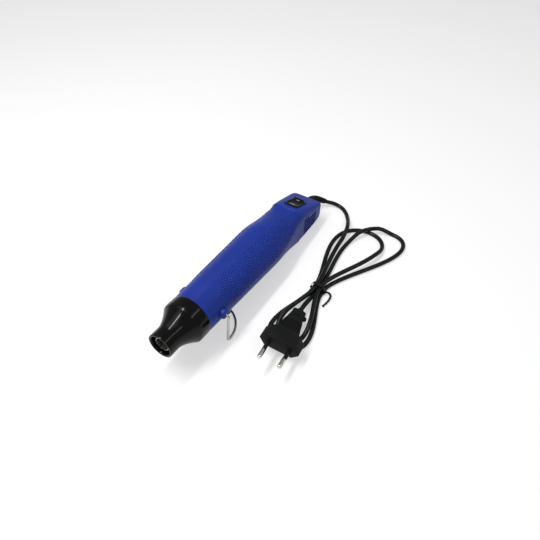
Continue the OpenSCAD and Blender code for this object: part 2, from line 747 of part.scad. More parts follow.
plug_at = [-53.3, -70, 15.7];
plug_turn = 187.6;
plug_pitch = 8.7;
plug_roll = -8.5;
plug_l = 46;
plug_dir = [cos(plug_turn) * cos(plug_pitch), sin(plug_turn) * cos(plug_pitch), sin(plug_pitch)];
neck_end = plug_at - plug_l * plug_dir;
run_end = [tie_x - tie_half, tie_y, cord_r];
neck_pull = 12;
to_plug = bow(run_end, run_end - [neck_pull, 0, 0], neck_end - neck_pull * plug_dir, neck_end);

hank_path = concat([for (i = [0:supply_rings]) supply(supply_t * (1 - i / supply_rings))],
    [for (i = [0:loop_rings]) inner_low(i / loop_rings)],
    [for (i = [0:loop_rings]) inner_high(i / loop_rings)],
    [for (i = [0:loop_rings]) outer_low(i / loop_rings)],
    [for (i = [0:loop_rings]) outer_high(i / loop_rings)],
    to_plug);
hank_start = hank_path[0];
hank_dir = unit(hank_path[0] - hank_path[1]);

route = concat([relief_end, relief_end + 4 * relief_dir],
    [[136.7, -18.4, 4.2], [137.7, -24.5, 2.9], [136.1, -30.8, 2.2], [131.5, -36.8, 2.1],
        [125.2, -41.6, 2.9], [118.6, -45.3, 4.8], [112, -48.2, 6.7], [105.5, -50.3, 7.2]],
    [hank_start + 5 * hank_dir, hank_start]);

// Smooth curve through a list of points, with a few steps between each two
function between(p, i, t) =
    let (a = p[max(i - 1, 0)], b = p[i], c = p[i + 1], d = p[min(i + 2, len(p) - 1)])
    b + 0.5 * t * ((c - a) + t * ((2 * a - 5 * b + 4 * c - d) + t * (3 * (b - c) + d - a)));
function curve(p, steps) = concat(
    [for (i = [0:len(p) - 2]) for (k = [0:steps - 1]) between(p, i, k / steps)],
    [p[len(p) - 1]]);

module cord_lead() {
    color(black) swept(curve(route, 3), cord_r, 8);
}

module cord_hank() {
    color(black) swept(hank_path, cord_r, 6);
}

function total(v, i = 0) = i >= len(v) - 1 ? 0 : norm(v[i + 1] - v[i]) + total(v, i + 1);
// Least gap between two stretches of the hank that are more than 5 diameters apart along it
function along(p) = [for (i = 0, s = 0; i < len(p);
    s = s + (i < len(p) - 1 ? norm(p[i + 1] - p[i]) : 0), i = i + 1) s];
function seg_gap(p, q, a) = let (d = q - p, t = min(max(((a - p) * d) / (d * d), 0), 1))
    norm(a - p - t * d);
hank_s = along(hank_path);
hank_gap = min([for (i = [0:len(hank_path) - 1]) for (j = [0:len(hank_path) - 2])
    if (abs(hank_s[i] - hank_s[j]) > 5 * cord_d && abs(hank_s[i] - hank_s[j + 1]) > 5 * cord_d)
        seg_gap(hank_path[j], hank_path[j + 1], hank_path[i])]) - cord_d;
echo(hank_gap = hank_gap, hank_length = total(hank_path), lead_length = total(curve(route, 3)));

tie_w = 2 * run_pitch + cord_d + 0.8;
tie_h = layer_pitch + cord_d + 0.8;
tie_l = 3;
module cord_tie() {
    color([0.1, 0.1, 0.1]) {
        translate([tie_x - tie_l / 2, tie_y, 0]) rotate([90, 0, 90]) difference() {
            linear_extrude(tie_l) polygon([[-tie_w / 2 - 0.5, 0], [tie_w / 2 + 0.5, 0],
                [tie_w / 2 + 0.5, cord_d], [run_pitch / 2 + 3, tie_h + 0.5],
                [-run_pitch / 2 - 3, tie_h + 0.5], [-tie_w / 2 - 0.5, cord_d]]);
            translate([0, 0, -1]) linear_extrude(tie_l + 2) polygon([[-tie_w / 2 + 0.2, -1],
                [tie_w / 2 - 0.2, -1], [tie_w / 2 - 0.2, cord_d - 0.3], [run_pitch / 2 + 2.4, tie_h - 0.3],
                [-run_pitch / 2 - 2.4, tie_h - 0.3], [-tie_w / 2 + 0.2, cord_d - 0.3]]);
        }
        side = tie_y - tie_w / 2;
        swept(bow([tie_x, side, 3.5], [tie_x + 4, side - 7, 3], [tie_x - 4, side - 8, 1.5],
            [tie_x - 14, side - 5, 1.2]), 1.1, 6);
    }
}

// The plug: x out of its face along the pins, from the face back to the end of its neck
module plug_place() {
    translate(plug_at) rotate([0, 0, plug_turn]) rotate([0, -plug_pitch, 0]) rotate([plug_roll, 0, 0])
        children();
}

neck_ribs = 6;
pin_toe = 1.65;
pin_root = 6;
core_r = pin_d / 2 - 0.6;
module at_pins() {
    plug_place() for (side = [-1, 1]) translate([0, side * pin_spacing / 2, 0])
        rotate([0, 90, -side * pin_toe]) children();
}

module plug_body() {
    half_w = plug_w / 2;
    neck_half = 10.4;
    end_half = 5.6;
    neck_h = 11;
    end_h = 7.6;
    block_end = -12.5;
    neck_from = -17;
    // Half of the width of the neck, or of its height, at a place x along it
    function neck_at(x, from, to) = from + (to - from) * (neck_from - x) / (neck_from + plug_l);
    section = [[-plug_flat / 2, plug_h / 2], [-half_w, 0.6], [-half_w, -0.6], [-plug_flat / 2, -plug_h / 2],
        [plug_flat / 2, -plug_h / 2], [half_w, -0.6], [half_w, 0.6], [plug_flat / 2, plug_h / 2]];
    block = [[0, half_w], [0, -half_w], [block_end, -half_w], [block_end - 5.5, -neck_half],
        [block_end - 5.5, neck_half], [block_end, half_w]];
    color(black) difference() {
        plug_place() {
            intersection() {
                rotate([90, 0, -90]) linear_extrude(-2 * neck_from) polygon(section);
                translate([0, 0, -plug_h]) linear_extrude(2 * plug_h) polygon(block);
            }
            intersection() {
                translate([0, 0, -plug_h]) linear_extrude(2 * plug_h) polygon([[neck_from, neck_half],
                    [neck_from, -neck_half], [3 - plug_l, -end_half], [3 - plug_l, end_half]]);
                translate([0, plug_w, 0]) rotate([90, 0, 0]) linear_extrude(2 * plug_w) polygon([
                    [neck_from, neck_h / 2], [neck_from, -neck_h / 2], [3 - plug_l, -end_h / 2],
                    [3 - plug_l, end_h / 2]]);
            }
            for (i = [1:neck_ribs]) let (x = neck_from - 2 * i, w = neck_at(x, neck_half, end_half) + 0.5,
                h = neck_at(x, neck_h, end_h) / 2 + 0.4) translate([x, -w, -h]) cube([1.2, 2 * w, 2 * h]);
            translate([-plug_l, 0, 0]) rotate([0, 90, 0]) cylinder(h = 4, r = cord_r + 1, $fn = 48);
        }
        plug_place() for (side = [-1, 1]) translate([10 - plug_l, side * 1.4, 1.5])
            cylinder(h = 4, r = 0.8, $fn = 24);
        at_pins() translate([0, 0, -pin_root]) cylinder(h = 2 * pin_root, r = core_r, $fn = 48);
    }
}

module plug_pins() {
    color(steel) at_pins() {
        translate([0, 0, sleeve_l]) cylinder(h = pin_l - sleeve_l - 0.8, r = pin_d / 2, $fn = 48);
        translate([0, 0, pin_l - 0.8]) cylinder(h = 0.8, r1 = pin_d / 2, r2 = pin_d / 2 - 0.8, $fn = 48);
        translate([0, 0, -pin_root]) cylinder(h = sleeve_l + pin_root, r = core_r, $fn = 48);
    }
}

module pin_sleeves() {
    // The end of a sleeve is square to its leaning pin, so it starts where it clears the plug's face
    start = sleeve_d / 2 * sin(pin_toe);
    color(black) at_pins() difference() {
        translate([0, 0, start]) cylinder(h = sleeve_l - start, r = sleeve_d / 2, $fn = 48);
        translate([0, 0, -1]) cylinder(h = sleeve_l + 2, r = core_r, $fn = 48);
    }
}

upper_shell();
lower_shell();
nozzle_shroud();
air_tube();
tube_spider();
mica_sleeve();
heater_former();
heater_coil();
air_funnel();
thermal_cutout();
fan_impeller();
motor_shaft();
fan_duct();
motor();
motor_endcap();
motor_clamp();
rectifier_board();
rectifier_parts();
switch_body();
switch_rocker();
switch_terminals();
motor_wires();
mains_wires();
cord_clamp();
clamp_screws();
shell_screws();
stand_wire();
strain_relief();
cord_lead();
cord_hank();
cord_tie();
plug_body();
plug_pins();
pin_sleeves();
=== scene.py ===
# Embossing heat tool on its wire stand, with the mains lead tied in a hank beside it
import bpy, bmesh, json, math
from mathutils import Vector, Matrix


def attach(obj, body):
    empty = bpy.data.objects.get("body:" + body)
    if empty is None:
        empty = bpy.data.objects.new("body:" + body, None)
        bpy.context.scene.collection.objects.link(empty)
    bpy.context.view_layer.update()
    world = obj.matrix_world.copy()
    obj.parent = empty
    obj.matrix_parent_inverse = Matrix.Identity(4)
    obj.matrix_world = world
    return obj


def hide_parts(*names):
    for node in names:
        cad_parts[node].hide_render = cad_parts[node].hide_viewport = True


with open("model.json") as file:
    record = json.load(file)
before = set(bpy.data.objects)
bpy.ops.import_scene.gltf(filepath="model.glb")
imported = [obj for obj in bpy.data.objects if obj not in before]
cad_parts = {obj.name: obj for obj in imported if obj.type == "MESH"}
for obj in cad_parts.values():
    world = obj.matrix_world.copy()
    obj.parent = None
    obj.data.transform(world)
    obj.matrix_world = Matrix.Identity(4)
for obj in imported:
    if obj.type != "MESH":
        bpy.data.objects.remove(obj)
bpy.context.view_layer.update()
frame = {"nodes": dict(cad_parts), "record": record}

mm = 0.001

# Camera, at the photograph's angle
camera = {
    "place": (-0.2407, -0.1895, 0.3574),
    "azimuth": -56.0,
    "elevation": 48.28,
    "roll": -1.31,
    "lens": 33.33,
}


def placeCamera():
    a = math.radians(camera["azimuth"])
    e = math.radians(camera["elevation"])
    back = Vector((math.sin(a) * math.cos(e), -math.cos(a) * math.cos(e), math.sin(e)))
    right = Vector((math.cos(a), math.sin(a), 0))
    turned = Matrix((right, back.cross(right), back)).transposed()
    turned = turned @ Matrix.Rotation(math.radians(camera["roll"]), 3, "Z")
    bpy.ops.object.camera_add(location=camera["place"], rotation=turned.to_euler())
    cam = bpy.context.object
    cam.name = "photoCamera"
    cam.data.lens = camera["lens"]
    cam.data.sensor_width = 36
    cam.data.clip_start = 0.01
    cam.data.clip_end = 20
    bpy.context.scene.camera = cam
    bpy.context.scene.view_settings.view_transform = "Standard"


placeCamera()
print("camera placed")

# The tool's own frame: s along it from the mouth, y across it, w up from its axis
mouth = {m["name"]: m for m in frame["record"]["mounts"]}["nozzle_mouth"]
toolAxis = -Vector(mouth["axis"]).normalized()
toolUp = toolAxis.cross(Vector((0, 1, 0))).normalized()
toolUp = toolUp if toolUp.z > 0 else -toolUp
mouthDepth = 5.4
toolStart = Vector(mouth["pos_m"]) - mouthDepth * mm * toolAxis
toolTurn = Matrix((toolAxis, Vector((0, 1, 0)), toolUp)).transposed().to_4x4()
toolPlace = Matrix.Translation(toolStart) @ toolTurn
toolLength = 226


def toolPoint(s, y, w):
    return toolPlace @ Vector((s * mm, y * mm, w * mm))


# Helpers for modelling
def deselectAll():
    if bpy.context.object and bpy.context.object.mode != "OBJECT":
        bpy.ops.object.mode_set(mode="OBJECT")
    bpy.ops.object.select_all(action="DESELECT")


def makeActive(obj):
    deselectAll()
    obj.select_set(True)
    bpy.context.view_layer.objects.active = obj


def applyPlace(obj):
    makeActive(obj)
    bpy.ops.object.transform_apply(location=True, rotation=True, scale=True)


def modify(obj, kind, **settings):
    makeActive(obj)
    bpy.ops.object.modifier_add(type=kind)
    modifier = obj.modifiers[-1]
    for name, value in settings.items():
        setattr(modifier, name, value)
    bpy.ops.object.modifier_apply(modifier=modifier.name)


def cutAway(obj, cutter, operation="DIFFERENCE"):
    modify(obj, "BOOLEAN", operation=operation, object=cutter, solver="EXACT")
    bpy.data.objects.remove(cutter)


def mergeAndTurnOut(obj, distance=0.001 * mm):
    makeActive(obj)
    bpy.ops.object.mode_set(mode="EDIT")
    bpy.ops.mesh.select_all(action="SELECT")
    bpy.ops.mesh.remove_doubles(threshold=distance)
    bpy.ops.mesh.normals_make_consistent(inside=False)
    bpy.ops.object.mode_set(mode="OBJECT")


def smoothByAngle(obj, angle=35):
    makeActive(obj)
    bpy.ops.object.shade_smooth_by_angle(angle=math.radians(angle))


def joinAll(name, objs):
    deselectAll()
    for o in objs:
        o.select_set(True)
    bpy.context.view_layer.objects.active = objs[0]
    if len(objs) > 1:
        bpy.ops.object.join()
    bpy.context.object.name = name
    return bpy.context.object


def selectEdges(obj, test):
    makeActive(obj)
    bpy.ops.object.mode_set(mode="EDIT")
    bpy.ops.mesh.select_mode(type="EDGE")
    bpy.ops.mesh.select_all(action="DESELECT")
    form = bmesh.from_edit_mesh(obj.data)
    for edge in form.edges:
        if test(edge.verts[0].co, edge.verts[1].co):
            edge.select = True
    form.select_flush(True)
    bmesh.update_edit_mesh(obj.data)


def bevelEdges(obj, test, width, segments=3):
    selectEdges(obj, test)
    bpy.ops.mesh.bevel(offset=width, segments=segments, affect="EDGES")
    bpy.ops.object.mode_set(mode="OBJECT")


def pieceFromForm(name, form):
    mesh = bpy.data.meshes.new(name)
    form.to_mesh(mesh)
    form.free()
    obj = bpy.data.objects.new(name, mesh)
    bpy.context.scene.collection.objects.link(obj)
    return obj


def gridPiece(name, along, around, place):
    bpy.ops.object.select_all(action="DESELECT")
    bpy.ops.mesh.primitive_grid_add(x_subdivisions=along, y_subdivisions=around, size=1)
    obj = bpy.context.object
    obj.name = name
    for v in obj.data.vertices:
        v.co = place(v.co.x + 0.5, v.co.y + 0.5)
    mergeAndTurnOut(obj)
    return obj


def spunPiece(name, profile, steps=128, closed=True):
    bpy.ops.object.select_all(action="DESELECT")
    bpy.ops.mesh.primitive_circle_add(vertices=len(profile), radius=1)
    obj = bpy.context.object
    obj.name = name
    for v, (s, r) in zip(obj.data.vertices, profile):
        v.co = Vector((s * mm, r * mm, 0))
    if not closed:
        bpy.ops.object.mode_set(mode="EDIT")
        form = bmesh.from_edit_mesh(obj.data)
        form.edges.ensure_lookup_table()
        last = [e for e in form.edges if {v.index for v in e.verts} == {0, len(profile) - 1}]
        bmesh.ops.delete(form, geom=last, context="EDGES")
        bmesh.update_edit_mesh(obj.data)
    makeActive(obj)
    bpy.ops.object.mode_set(mode="EDIT")
    bpy.ops.mesh.select_all(action="SELECT")
    bpy.ops.mesh.spin(steps=steps, angle=2 * math.pi, center=(0, 0, 0), axis=(1, 0, 0))
    mergeAndTurnOut(obj, 0.002 * mm)
    return obj


def inTool(obj):
    obj.data.transform(toolPlace)
    return obj


def ease(t):
    t = min(max(t, 0), 1)
    return t * t * (3 - 2 * t)


# Materials
def newMaterial(name):
    material = bpy.data.materials.new(name)
    material.use_nodes = True
    tree = material.node_tree
    return material, tree.nodes, tree.links, tree.nodes["Principled BSDF"]


def addNoise(nodes, links, coords, scale, detail):
    noise = nodes.new("ShaderNodeTexNoise")
    noise.inputs["Scale"].default_value = scale
    noise.inputs["Detail"].default_value = detail
    links.new(coords, noise.inputs["Vector"])
    return noise


def addRange(nodes, links, source, low, high):
    spread = nodes.new("ShaderNodeMapRange")
    spread.inputs["To Min"].default_value = low
    spread.inputs["To Max"].default_value = high
    links.new(source, spread.inputs["Value"])
    return spread.outputs["Result"]


def addRamp(nodes, links, source, first, second):
    ramp = nodes.new("ShaderNodeValToRGB")
    ramp.color_ramp.elements[0].color = (*first, 1)
    ramp.color_ramp.elements[1].color = (*second, 1)
    ramp.color_ramp.elements[0].position = 0.3
    ramp.color_ramp.elements[1].position = 0.7
    links.new(source, ramp.inputs["Fac"])
    return ramp.outputs["Color"]


def addBump(nodes, links, shader, source, strength, distance):
    lift = nodes.new("ShaderNodeBump")
    lift.inputs["Strength"].default_value = strength
    lift.inputs["Distance"].default_value = distance
    links.new(source, lift.inputs["Height"])
    links.new(lift.outputs["Normal"], shader.inputs["Normal"])


def mouldedPlastic(name, dark, light, rough, shine=0.15, grain=2500, bump=0.05, patch=60):
    material, nodes, links, shader = newMaterial(name)
    coords = nodes.new("ShaderNodeTexCoord").outputs["Object"]
    broad = addNoise(nodes, links, coords, patch, 4)
    fine = addNoise(nodes, links, coords, grain, 2)
    links.new(addRamp(nodes, links, broad.outputs["Fac"], dark, light), shader.inputs["Base Color"])
    links.new(addRange(nodes, links, broad.outputs["Fac"], *rough), shader.inputs["Roughness"])
    addBump(nodes, links, shader, fine.outputs["Fac"], bump, 0.04 * mm)
    shader.inputs["Specular IOR Level"].default_value = shine
    return material


def drawnMetal(name, dark, light, rough, along=(1, 1, 1), scale=300):
    material, nodes, links, shader = newMaterial(name)
    coords = nodes.new("ShaderNodeTexCoord")
    stretch = nodes.new("ShaderNodeMapping")
    stretch.inputs["Scale"].default_value = along
    links.new(coords.outputs["Object"], stretch.inputs["Vector"])
    streaks = addNoise(nodes, links, stretch.outputs["Vector"], scale, 4)
    links.new(addRamp(nodes, links, streaks.outputs["Fac"], dark, light), shader.inputs["Base Color"])
    links.new(addRange(nodes, links, streaks.outputs["Fac"], *rough), shader.inputs["Roughness"])
    addBump(nodes, links, shader, streaks.outputs["Fac"], 0.02, 0.02 * mm)
    shader.inputs["Metallic"].default_value = 1
    return material


bluePlastic = mouldedPlastic(
    "bluePlastic", (0.0055, 0.0225, 0.205), (0.007, 0.027, 0.245), (0.40, 0.50),
    shine=0.2,
)
nozzlePlastic = mouldedPlastic(
    "nozzlePlastic", (0.0015, 0.0017, 0.0013), (0.0025, 0.0027, 0.0022), (0.10, 0.15),
    shine=0.17, bump=0.02,
)
switchPlastic = mouldedPlastic(
    "switchPlastic", (0.003, 0.003, 0.0035), (0.005, 0.005, 0.0055), (0.25, 0.35),
    shine=0.15,
)
cordSheath = mouldedPlastic(
    "cordSheath", (0.004, 0.005, 0.0045), (0.007, 0.008, 0.0075), (0.24, 0.34),
    shine=0.2, grain=1800, bump=0.12,
)
plugPlastic = mouldedPlastic(
    "plugPlastic", (0.005, 0.006, 0.0052), (0.008, 0.009, 0.0082), (0.5, 0.62),
    shine=0.1, grain=3500, bump=0.35,
)
tiePlastic = mouldedPlastic("tiePlastic", (0.004, 0.004, 0.004), (0.008, 0.008, 0.008), (0.35, 0.5))
sleevePlastic = mouldedPlastic("sleevePlastic", (0.004, 0.004, 0.004), (0.007, 0.007, 0.007), (0.2, 0.3))
innerPlastic = mouldedPlastic("innerPlastic", (0.012, 0.012, 0.013), (0.022, 0.022, 0.024), (0.45, 0.6))
fanPlastic = mouldedPlastic("fanPlastic", (0.62, 0.62, 0.58), (0.72, 0.72, 0.68), (0.4, 0.5), shine=0.4)
ceramic = mouldedPlastic("ceramic", (0.72, 0.70, 0.64), (0.82, 0.80, 0.74), (0.5, 0.7), shine=0.4, bump=0.4)
# Mica sleeve and heater former coloured near black: painted shade for the dark inside of the air tube, not
# mica's own amber tone
mica = mouldedPlastic(
    "mica", (0.022, 0.016, 0.010), (0.04, 0.031, 0.020), (0.45, 0.7),
    grain=700, bump=0.3, patch=220,
)
boardGreen = mouldedPlastic(
    "boardGreen", (0.01, 0.12, 0.04), (0.02, 0.18, 0.06), (0.3, 0.45),
    shine=0.4, patch=300,
)
componentBlack = mouldedPlastic("componentBlack", (0.01, 0.01, 0.01), (0.02, 0.02, 0.02), (0.3, 0.5))
wireRed = mouldedPlastic("wireRed", (0.32, 0.015, 0.012), (0.42, 0.02, 0.015), (0.3, 0.45), shine=0.4)
markWhite = mouldedPlastic("markWhite", (0.30, 0.29, 0.26), (0.38, 0.37, 0.34), (0.4, 0.5), shine=0.2)
standSteel = drawnMetal("standSteel", (0.44, 0.43, 0.41), (0.54, 0.53, 0.50), (0.14, 0.2), (1, 1, 0.2), 120)
tubeSteel = drawnMetal("tubeSteel", (0.42, 0.40, 0.37), (0.60, 0.58, 0.54), (0.2, 0.4), (0.1, 1, 1))
pinPlating = drawnMetal("pinPlating", (0.66, 0.64, 0.57), (0.78, 0.75, 0.67), (0.14, 0.22), (1, 1, 1), 120)
canSteel = drawnMetal("canSteel", (0.45, 0.45, 0.44), (0.6, 0.6, 0.58), (0.25, 0.4), (0.2, 1, 1))
brass = drawnMetal("brass", (0.55, 0.42, 0.16), (0.72, 0.57, 0.26), (0.25, 0.4))
# Heater coil coloured near black: painted shade for the dark inside of the air tube, not the wire's own
# grey
heaterWirePaintedShade = drawnMetal("heaterWirePaintedShade", (0.03, 0.026, 0.022), (0.06, 0.05, 0.045), (0.5, 0.7))
print("materials ready")


def finish(obj, material, body="root", node=None):
    obj.data.materials.clear()
    obj.data.materials.append(material)
    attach(obj, body)
    if node:
        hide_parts(*([node] if isinstance(node, str) else node))
    return obj


def dressNode(node, material):
    obj = frame["nodes"][node]
    obj.data.materials.clear()
    obj.data.materials.append(material)


# Cord: the route of the CAD solid, in metres, from the strain relief to the plug
cordShape = {
    "radius": 2.1,
    "length": 951,
    "sides": 16,
    "tieX": 25,
    "tieY": -63,
    "tieHalf": 5,
    "leaf": 1.54,
    "runs": 4.9,
    "layers": 4.7,
    "settle": 12,
}
reliefShape = {
    "length": 26,
    "lead": 4,
    "bend": 15,
    "turn": math.radians(55),
    "roll": math.radians(25),
    "drop": -4.8,
    "root": 4.2,
    "tip": 2.6,
    "ribs": 9,
    "groove": 0.75,
    "flange": 4.1,
}
plugShape = {
    "place": (-53.3, -70, 15.7),
    "turn": math.radians(187.6),
    "pitch": math.radians(8.7),
    "roll": math.radians(-8.5),
    "length": 46,
    "width": 35.3,
    "height": 13.7,
    "flat": 25,
    "pinLength": 19,
    "pinRadius": 2.0,
    "sleeveLength": 10,
    "sleeveRadius": 1.8,
    "pinSpacing": 18.6,
    "toe": math.radians(1.65),
}


def reliefPoint(a):
    r = reliefShape
    arc = r["bend"] * r["turn"]
    q = min(max(a - r["lead"], 0) / arc, 1) * r["turn"]
    rest = max(a - r["lead"] - arc, 0)
    along = min(a, r["lead"]) + r["bend"] * math.sin(q) + rest * math.cos(q)
    aside = -r["bend"] * (1 - math.cos(q)) - rest * math.sin(q)
    y = aside * math.cos(r["roll"])
    w = r["drop"] + aside * math.sin(r["roll"])
    return toolPoint(toolLength + along, y, w)


def loopPoint(t, way, reach, width, shift, first, last, lift):
    c = cordShape
    slots = [(c["runs"] / 2, 1), (-c["runs"] / 2, 1), (c["runs"], 0), (-c["runs"], 0), (0, 0)]
    out = math.sin(math.pi * t) ** 2
    m = ease(t)
    x = c["tieX"] + way * (c["tieHalf"] + reach * out)
    y = c["tieY"] - way * width * c["leaf"] * math.sin(2 * math.pi * t) * out + shift * out**1.3
    y += slots[first][0] * (1 - m) + slots[last][0] * m
    return Vector((x, y, c["radius"] + c["layers"] * lift)) * mm


def bezier(a, b, c, d, t):
    u = 1 - t
    return u**3 * a + 3 * u * u * t * b + 3 * u * t * t * c + t**3 * d


# Point between b and c on a smooth curve through a, b, c and d
def smoothPoint(a, b, c, d, t):
    return b + 0.5 * t * ((c - a) + t * ((2 * a - 5 * b + 4 * c - d) + t * (3 * (b - c) + d - a)))


def cordRoute():
    p = plugShape
    level = math.cos(p["pitch"])
    plugWay = Vector((math.cos(p["turn"]) * level, math.sin(p["turn"]) * level, math.sin(p["pitch"])))
    loops = []
    for i in range(13):
        t = 0.3 * (1 - i / 12)
        dip = 1 - math.sin(math.pi * (t - 0.12) / 0.26) ** 2 if t > 0.12 else 1
        loops.append(loopPoint(t, 1, 92, -19.8, -17.5, 0, 0, dip))
    for way, reach, width, shift, first, last, lift in [
        (-1, 58, 11.8, -3, 0, 1, lambda t: 1 - ease((t - 0.26) / 0.14) + ease((t - 0.6) / 0.14)),
        (1, 88, 21, -9, 1, 2, lambda t: 1 - ease((t - 0.29) / 0.1)),
        (-1, 66, 15.6, -3, 2, 3, lambda t: 0),
        (1, 98, 21.5, -26, 3, 4, lambda t: ease((t - 0.5) / 0.07) * (1 - ease((t - 0.63) / 0.08))),
    ]:
        for i in range(1, 61):
            loops.append(loopPoint(i / 60, way, reach, width, shift, first, last, lift(i / 60)))
    runEnd = loops[-1]
    neckEnd = (Vector(p["place"]) - p["length"] * plugWay) * mm
    settle = cordShape["settle"] * mm
    handles = runEnd - Vector((settle, 0, 0)), neckEnd - settle * plugWay
    loops += [bezier(runEnd, *handles, neckEnd, i / 12) for i in range(1, 13)]
    start = reliefPoint(reliefShape["length"])
    way = (start - reliefPoint(reliefShape["length"] - 1)).normalized()
    onward = (loops[0] - loops[1]).normalized()
    marks = [start, start + 4 * mm * way]
    marks += [
        Vector(q) * mm
        for q in [
            (136.7, -18.4, 4.2), (137.7, -24.5, 2.9), (136.1, -30.8, 2.2), (131.5, -36.8, 2.1),
            (125.2, -41.6, 2.9), (118.6, -45.3, 4.8), (112, -48.2, 6.7), (105.5, -50.3, 7.2),
        ]
    ]
    marks += [loops[0] + 5 * mm * onward, loops[0]]
    lead = []
    for i in range(len(marks) - 1):
        around = marks[max(i - 1, 0)], marks[i], marks[i + 1], marks[min(i + 2, len(marks) - 1)]
        lead += [smoothPoint(*around, k / 5) for k in range(5)]
    return lead + loops


# Tube along a path, where size(i) gives the radius at its point i
def sweptPiece(name, path, size, sides):
    way = (path[1] - path[0]).normalized()
    side = way.orthogonal().normalized()
    form = bmesh.new()
    angles = [2 * math.pi * k / sides for k in range(sides)]
    rings = []
    for i, point in enumerate(path):
        new = (path[min(i + 1, len(path) - 1)] - path[max(i - 1, 0)]).normalized()
        side = way.rotation_difference(new) @ side
        side = (side - side.dot(new) * new).normalized()
        way = new
        up = way.cross(side)
        spokes = [math.cos(q) * side + math.sin(q) * up for q in angles]
        rings.append([form.verts.new(point + size(i) * spoke) for spoke in spokes])
    for low, high in zip(rings, rings[1:]):
        for k in range(sides):
            form.faces.new((low[k], low[(k + 1) % sides], high[(k + 1) % sides], high[k]))
    form.faces.new(rings[0][::-1])
    form.faces.new(rings[-1])
    bmesh.ops.recalc_face_normals(form, faces=form.faces)
    obj = pieceFromForm(name, form)
    smoothByAngle(obj, 40)
    return obj


cordPath = cordRoute()
mainsCord = sweptPiece("mainsCord", cordPath, lambda i: cordShape["radius"] * mm, cordShape["sides"])
finish(mainsCord, cordSheath, node=["cord_lead", "cord_hank"])
print("cord laid, length", round(sum((b - a).length for a, b in zip(cordPath, cordPath[1:])), 4))

# Strain relief: grooves between rounded ribs, tapering to the cord
def reliefRadius(a):
    r = reliefShape
    base = r["tip"] + (r["root"] - r["tip"]) * (1 - (min(max(a, 0) / r["length"], 1)) ** 2.2)
    pitch = r["length"] / r["ribs"]
    phase = (a % pitch) / pitch
    groove = r["groove"] * (1 - min(1, abs(phase - 0.75) / 0.17) ** 3) if a < r["length"] - 0.6 else 0
    tip = max(0, a - (r["length"] - 0.5)) / 0.5
    return (base - groove - 0.35 * tip**2) * mm


reliefSteps = [-2 + 0.2 * i for i in range(141)]
strainRelief = sweptPiece(
    "strainRelief",
    [reliefPoint(max(a, 0)) + min(a, 0) * mm * toolAxis for a in reliefSteps],
    lambda i: reliefRadius(reliefSteps[i]) if reliefSteps[i] > -1 else reliefShape["flange"] * mm,
    40,
)
finish(strainRelief, cordSheath, node="strain_relief")
print("strain relief made")

# Body shells: stations give place, half width, height over and under the axis, squareness over
# and under it, and how far the lower corners flare out
deckShape = {"angle": math.radians(17.8), "end": 3.4, "switch": 200}
deckSlope = math.tan(deckShape["angle"])


def deckHeight(s):
    return deckShape["end"] + (toolLength - s) * deckSlope


bodyShape = {
    "wall": 1.8,
    "seam": 0.08,
    "around": 72,
    "start": 38,
    "hip": 182.7,
    "tail": 183.6,
    "corner": 214,
    "front": [
        (38, 19.5, 19.5, 19.5, 2, 2, 0),
        (60, 20.08, 20.08, 20.08, 2, 2, 0),
        (90, 20.875, 20.875, 20.875, 2, 2, 0),
        (115, 21.5, 21.5, 21.5, 2, 2, 0),
        (135, 22, 22, 22.1, 2, 2, 0),
        (144, 21.5, 21.1, 22.3, 2, 2.1, 0.2),
        (155, 20.1, 19.4, 22.4, 2.05, 2.3, 1),
        (166, 18.7, 17.6, 22.4, 2.3, 2.7, 2.4),
        (176, 17.7, 16.2, 22.4, 2.9, 3.2, 4),
        (182.7, 17.3, 16.4, 22.4, 3.6, 3.6, 5),
    ],
    "rear": [
        (183.6, 17.2, deckHeight(183.6), 20.8, 4.0, 5, 2.2),
        (193, 17.2, deckHeight(193), 20.5, 5, 6, 1),
        (205, 17.2, deckHeight(205), 20, 5.5, 6, 0.4),
        (214, 17.15, deckHeight(214), 19.4, 5.5, 6, 0),
        (220, 17, deckHeight(220), 18.9, 5.5, 5.8, 0),
        (224, 16.6, deckHeight(224), 18.3, 5.2, 5.5, 0),
        (225.5, 15.9, deckHeight(225.5) - 0.15, 17.9, 4.8, 5, 0),
        (226, 15.1, 2.9, 17.4, 4.4, 4.6, 0),
    ],
}


def alongTable(table, s):
    i = max(j for j in range(len(table) - 1) if j == 0 or table[j][0] <= s)
    a, b = table[i], table[i + 1]
    before, after = table[max(i - 1, 0)], table[min(i + 2, len(table) - 1)]
    span = b[0] - a[0]
    t = (s - a[0]) / span
    values = []
    for k in range(1, 7):
        slopeA = (b[k] - before[k]) / (b[0] - before[0]) * span
        slopeB = (after[k] - a[k]) / (after[0] - a[0]) * span
        if (b[k] - a[k]) * slopeA < 0 or b[k] == a[k]:
            slopeA = 0
        if (b[k] - a[k]) * slopeB < 0 or b[k] == a[k]:
            slopeB = 0
        h = 3 * t * t - 2 * t**3
        values.append(a[k] + (b[k] - a[k]) * h + slopeA * (t - 2 * t * t + t**3) + slopeB * (t**3 - t * t))
    return values


def signedPower(v, n):
    return math.copysign(abs(v) ** (2 / n), v)


# Outer point of the body at a place along it and an angle from its +Y side, upwards
def bodyPoint(s, angle, shrink=1):
    table = bodyShape["front"] if s <= bodyShape["front"][-1][0] else bodyShape["rear"]
    half, top, bottom, nTop, nBottom, flare = alongTable(table, s)
    c, d = math.cos(angle), math.sin(angle)
    n, height = (nTop, top) if d >= 0 else (nBottom, bottom)
    spread = half + (flare * d * d if d < 0 else 0)
    return Vector((s, shrink * spread * signedPower(c, n), shrink * height * signedPower(d, n)))


def bodyNormal(s, angle):
    along = bodyPoint(s + 0.2, angle) - bodyPoint(s - 0.2, angle)
    around = bodyPoint(s, angle + 0.01) - bodyPoint(s, angle - 0.01)
    normal = along.cross(around).normalized()
    return normal if normal.dot(bodyPoint(s, angle) - Vector((s, 0, 0))) > 0 else -normal


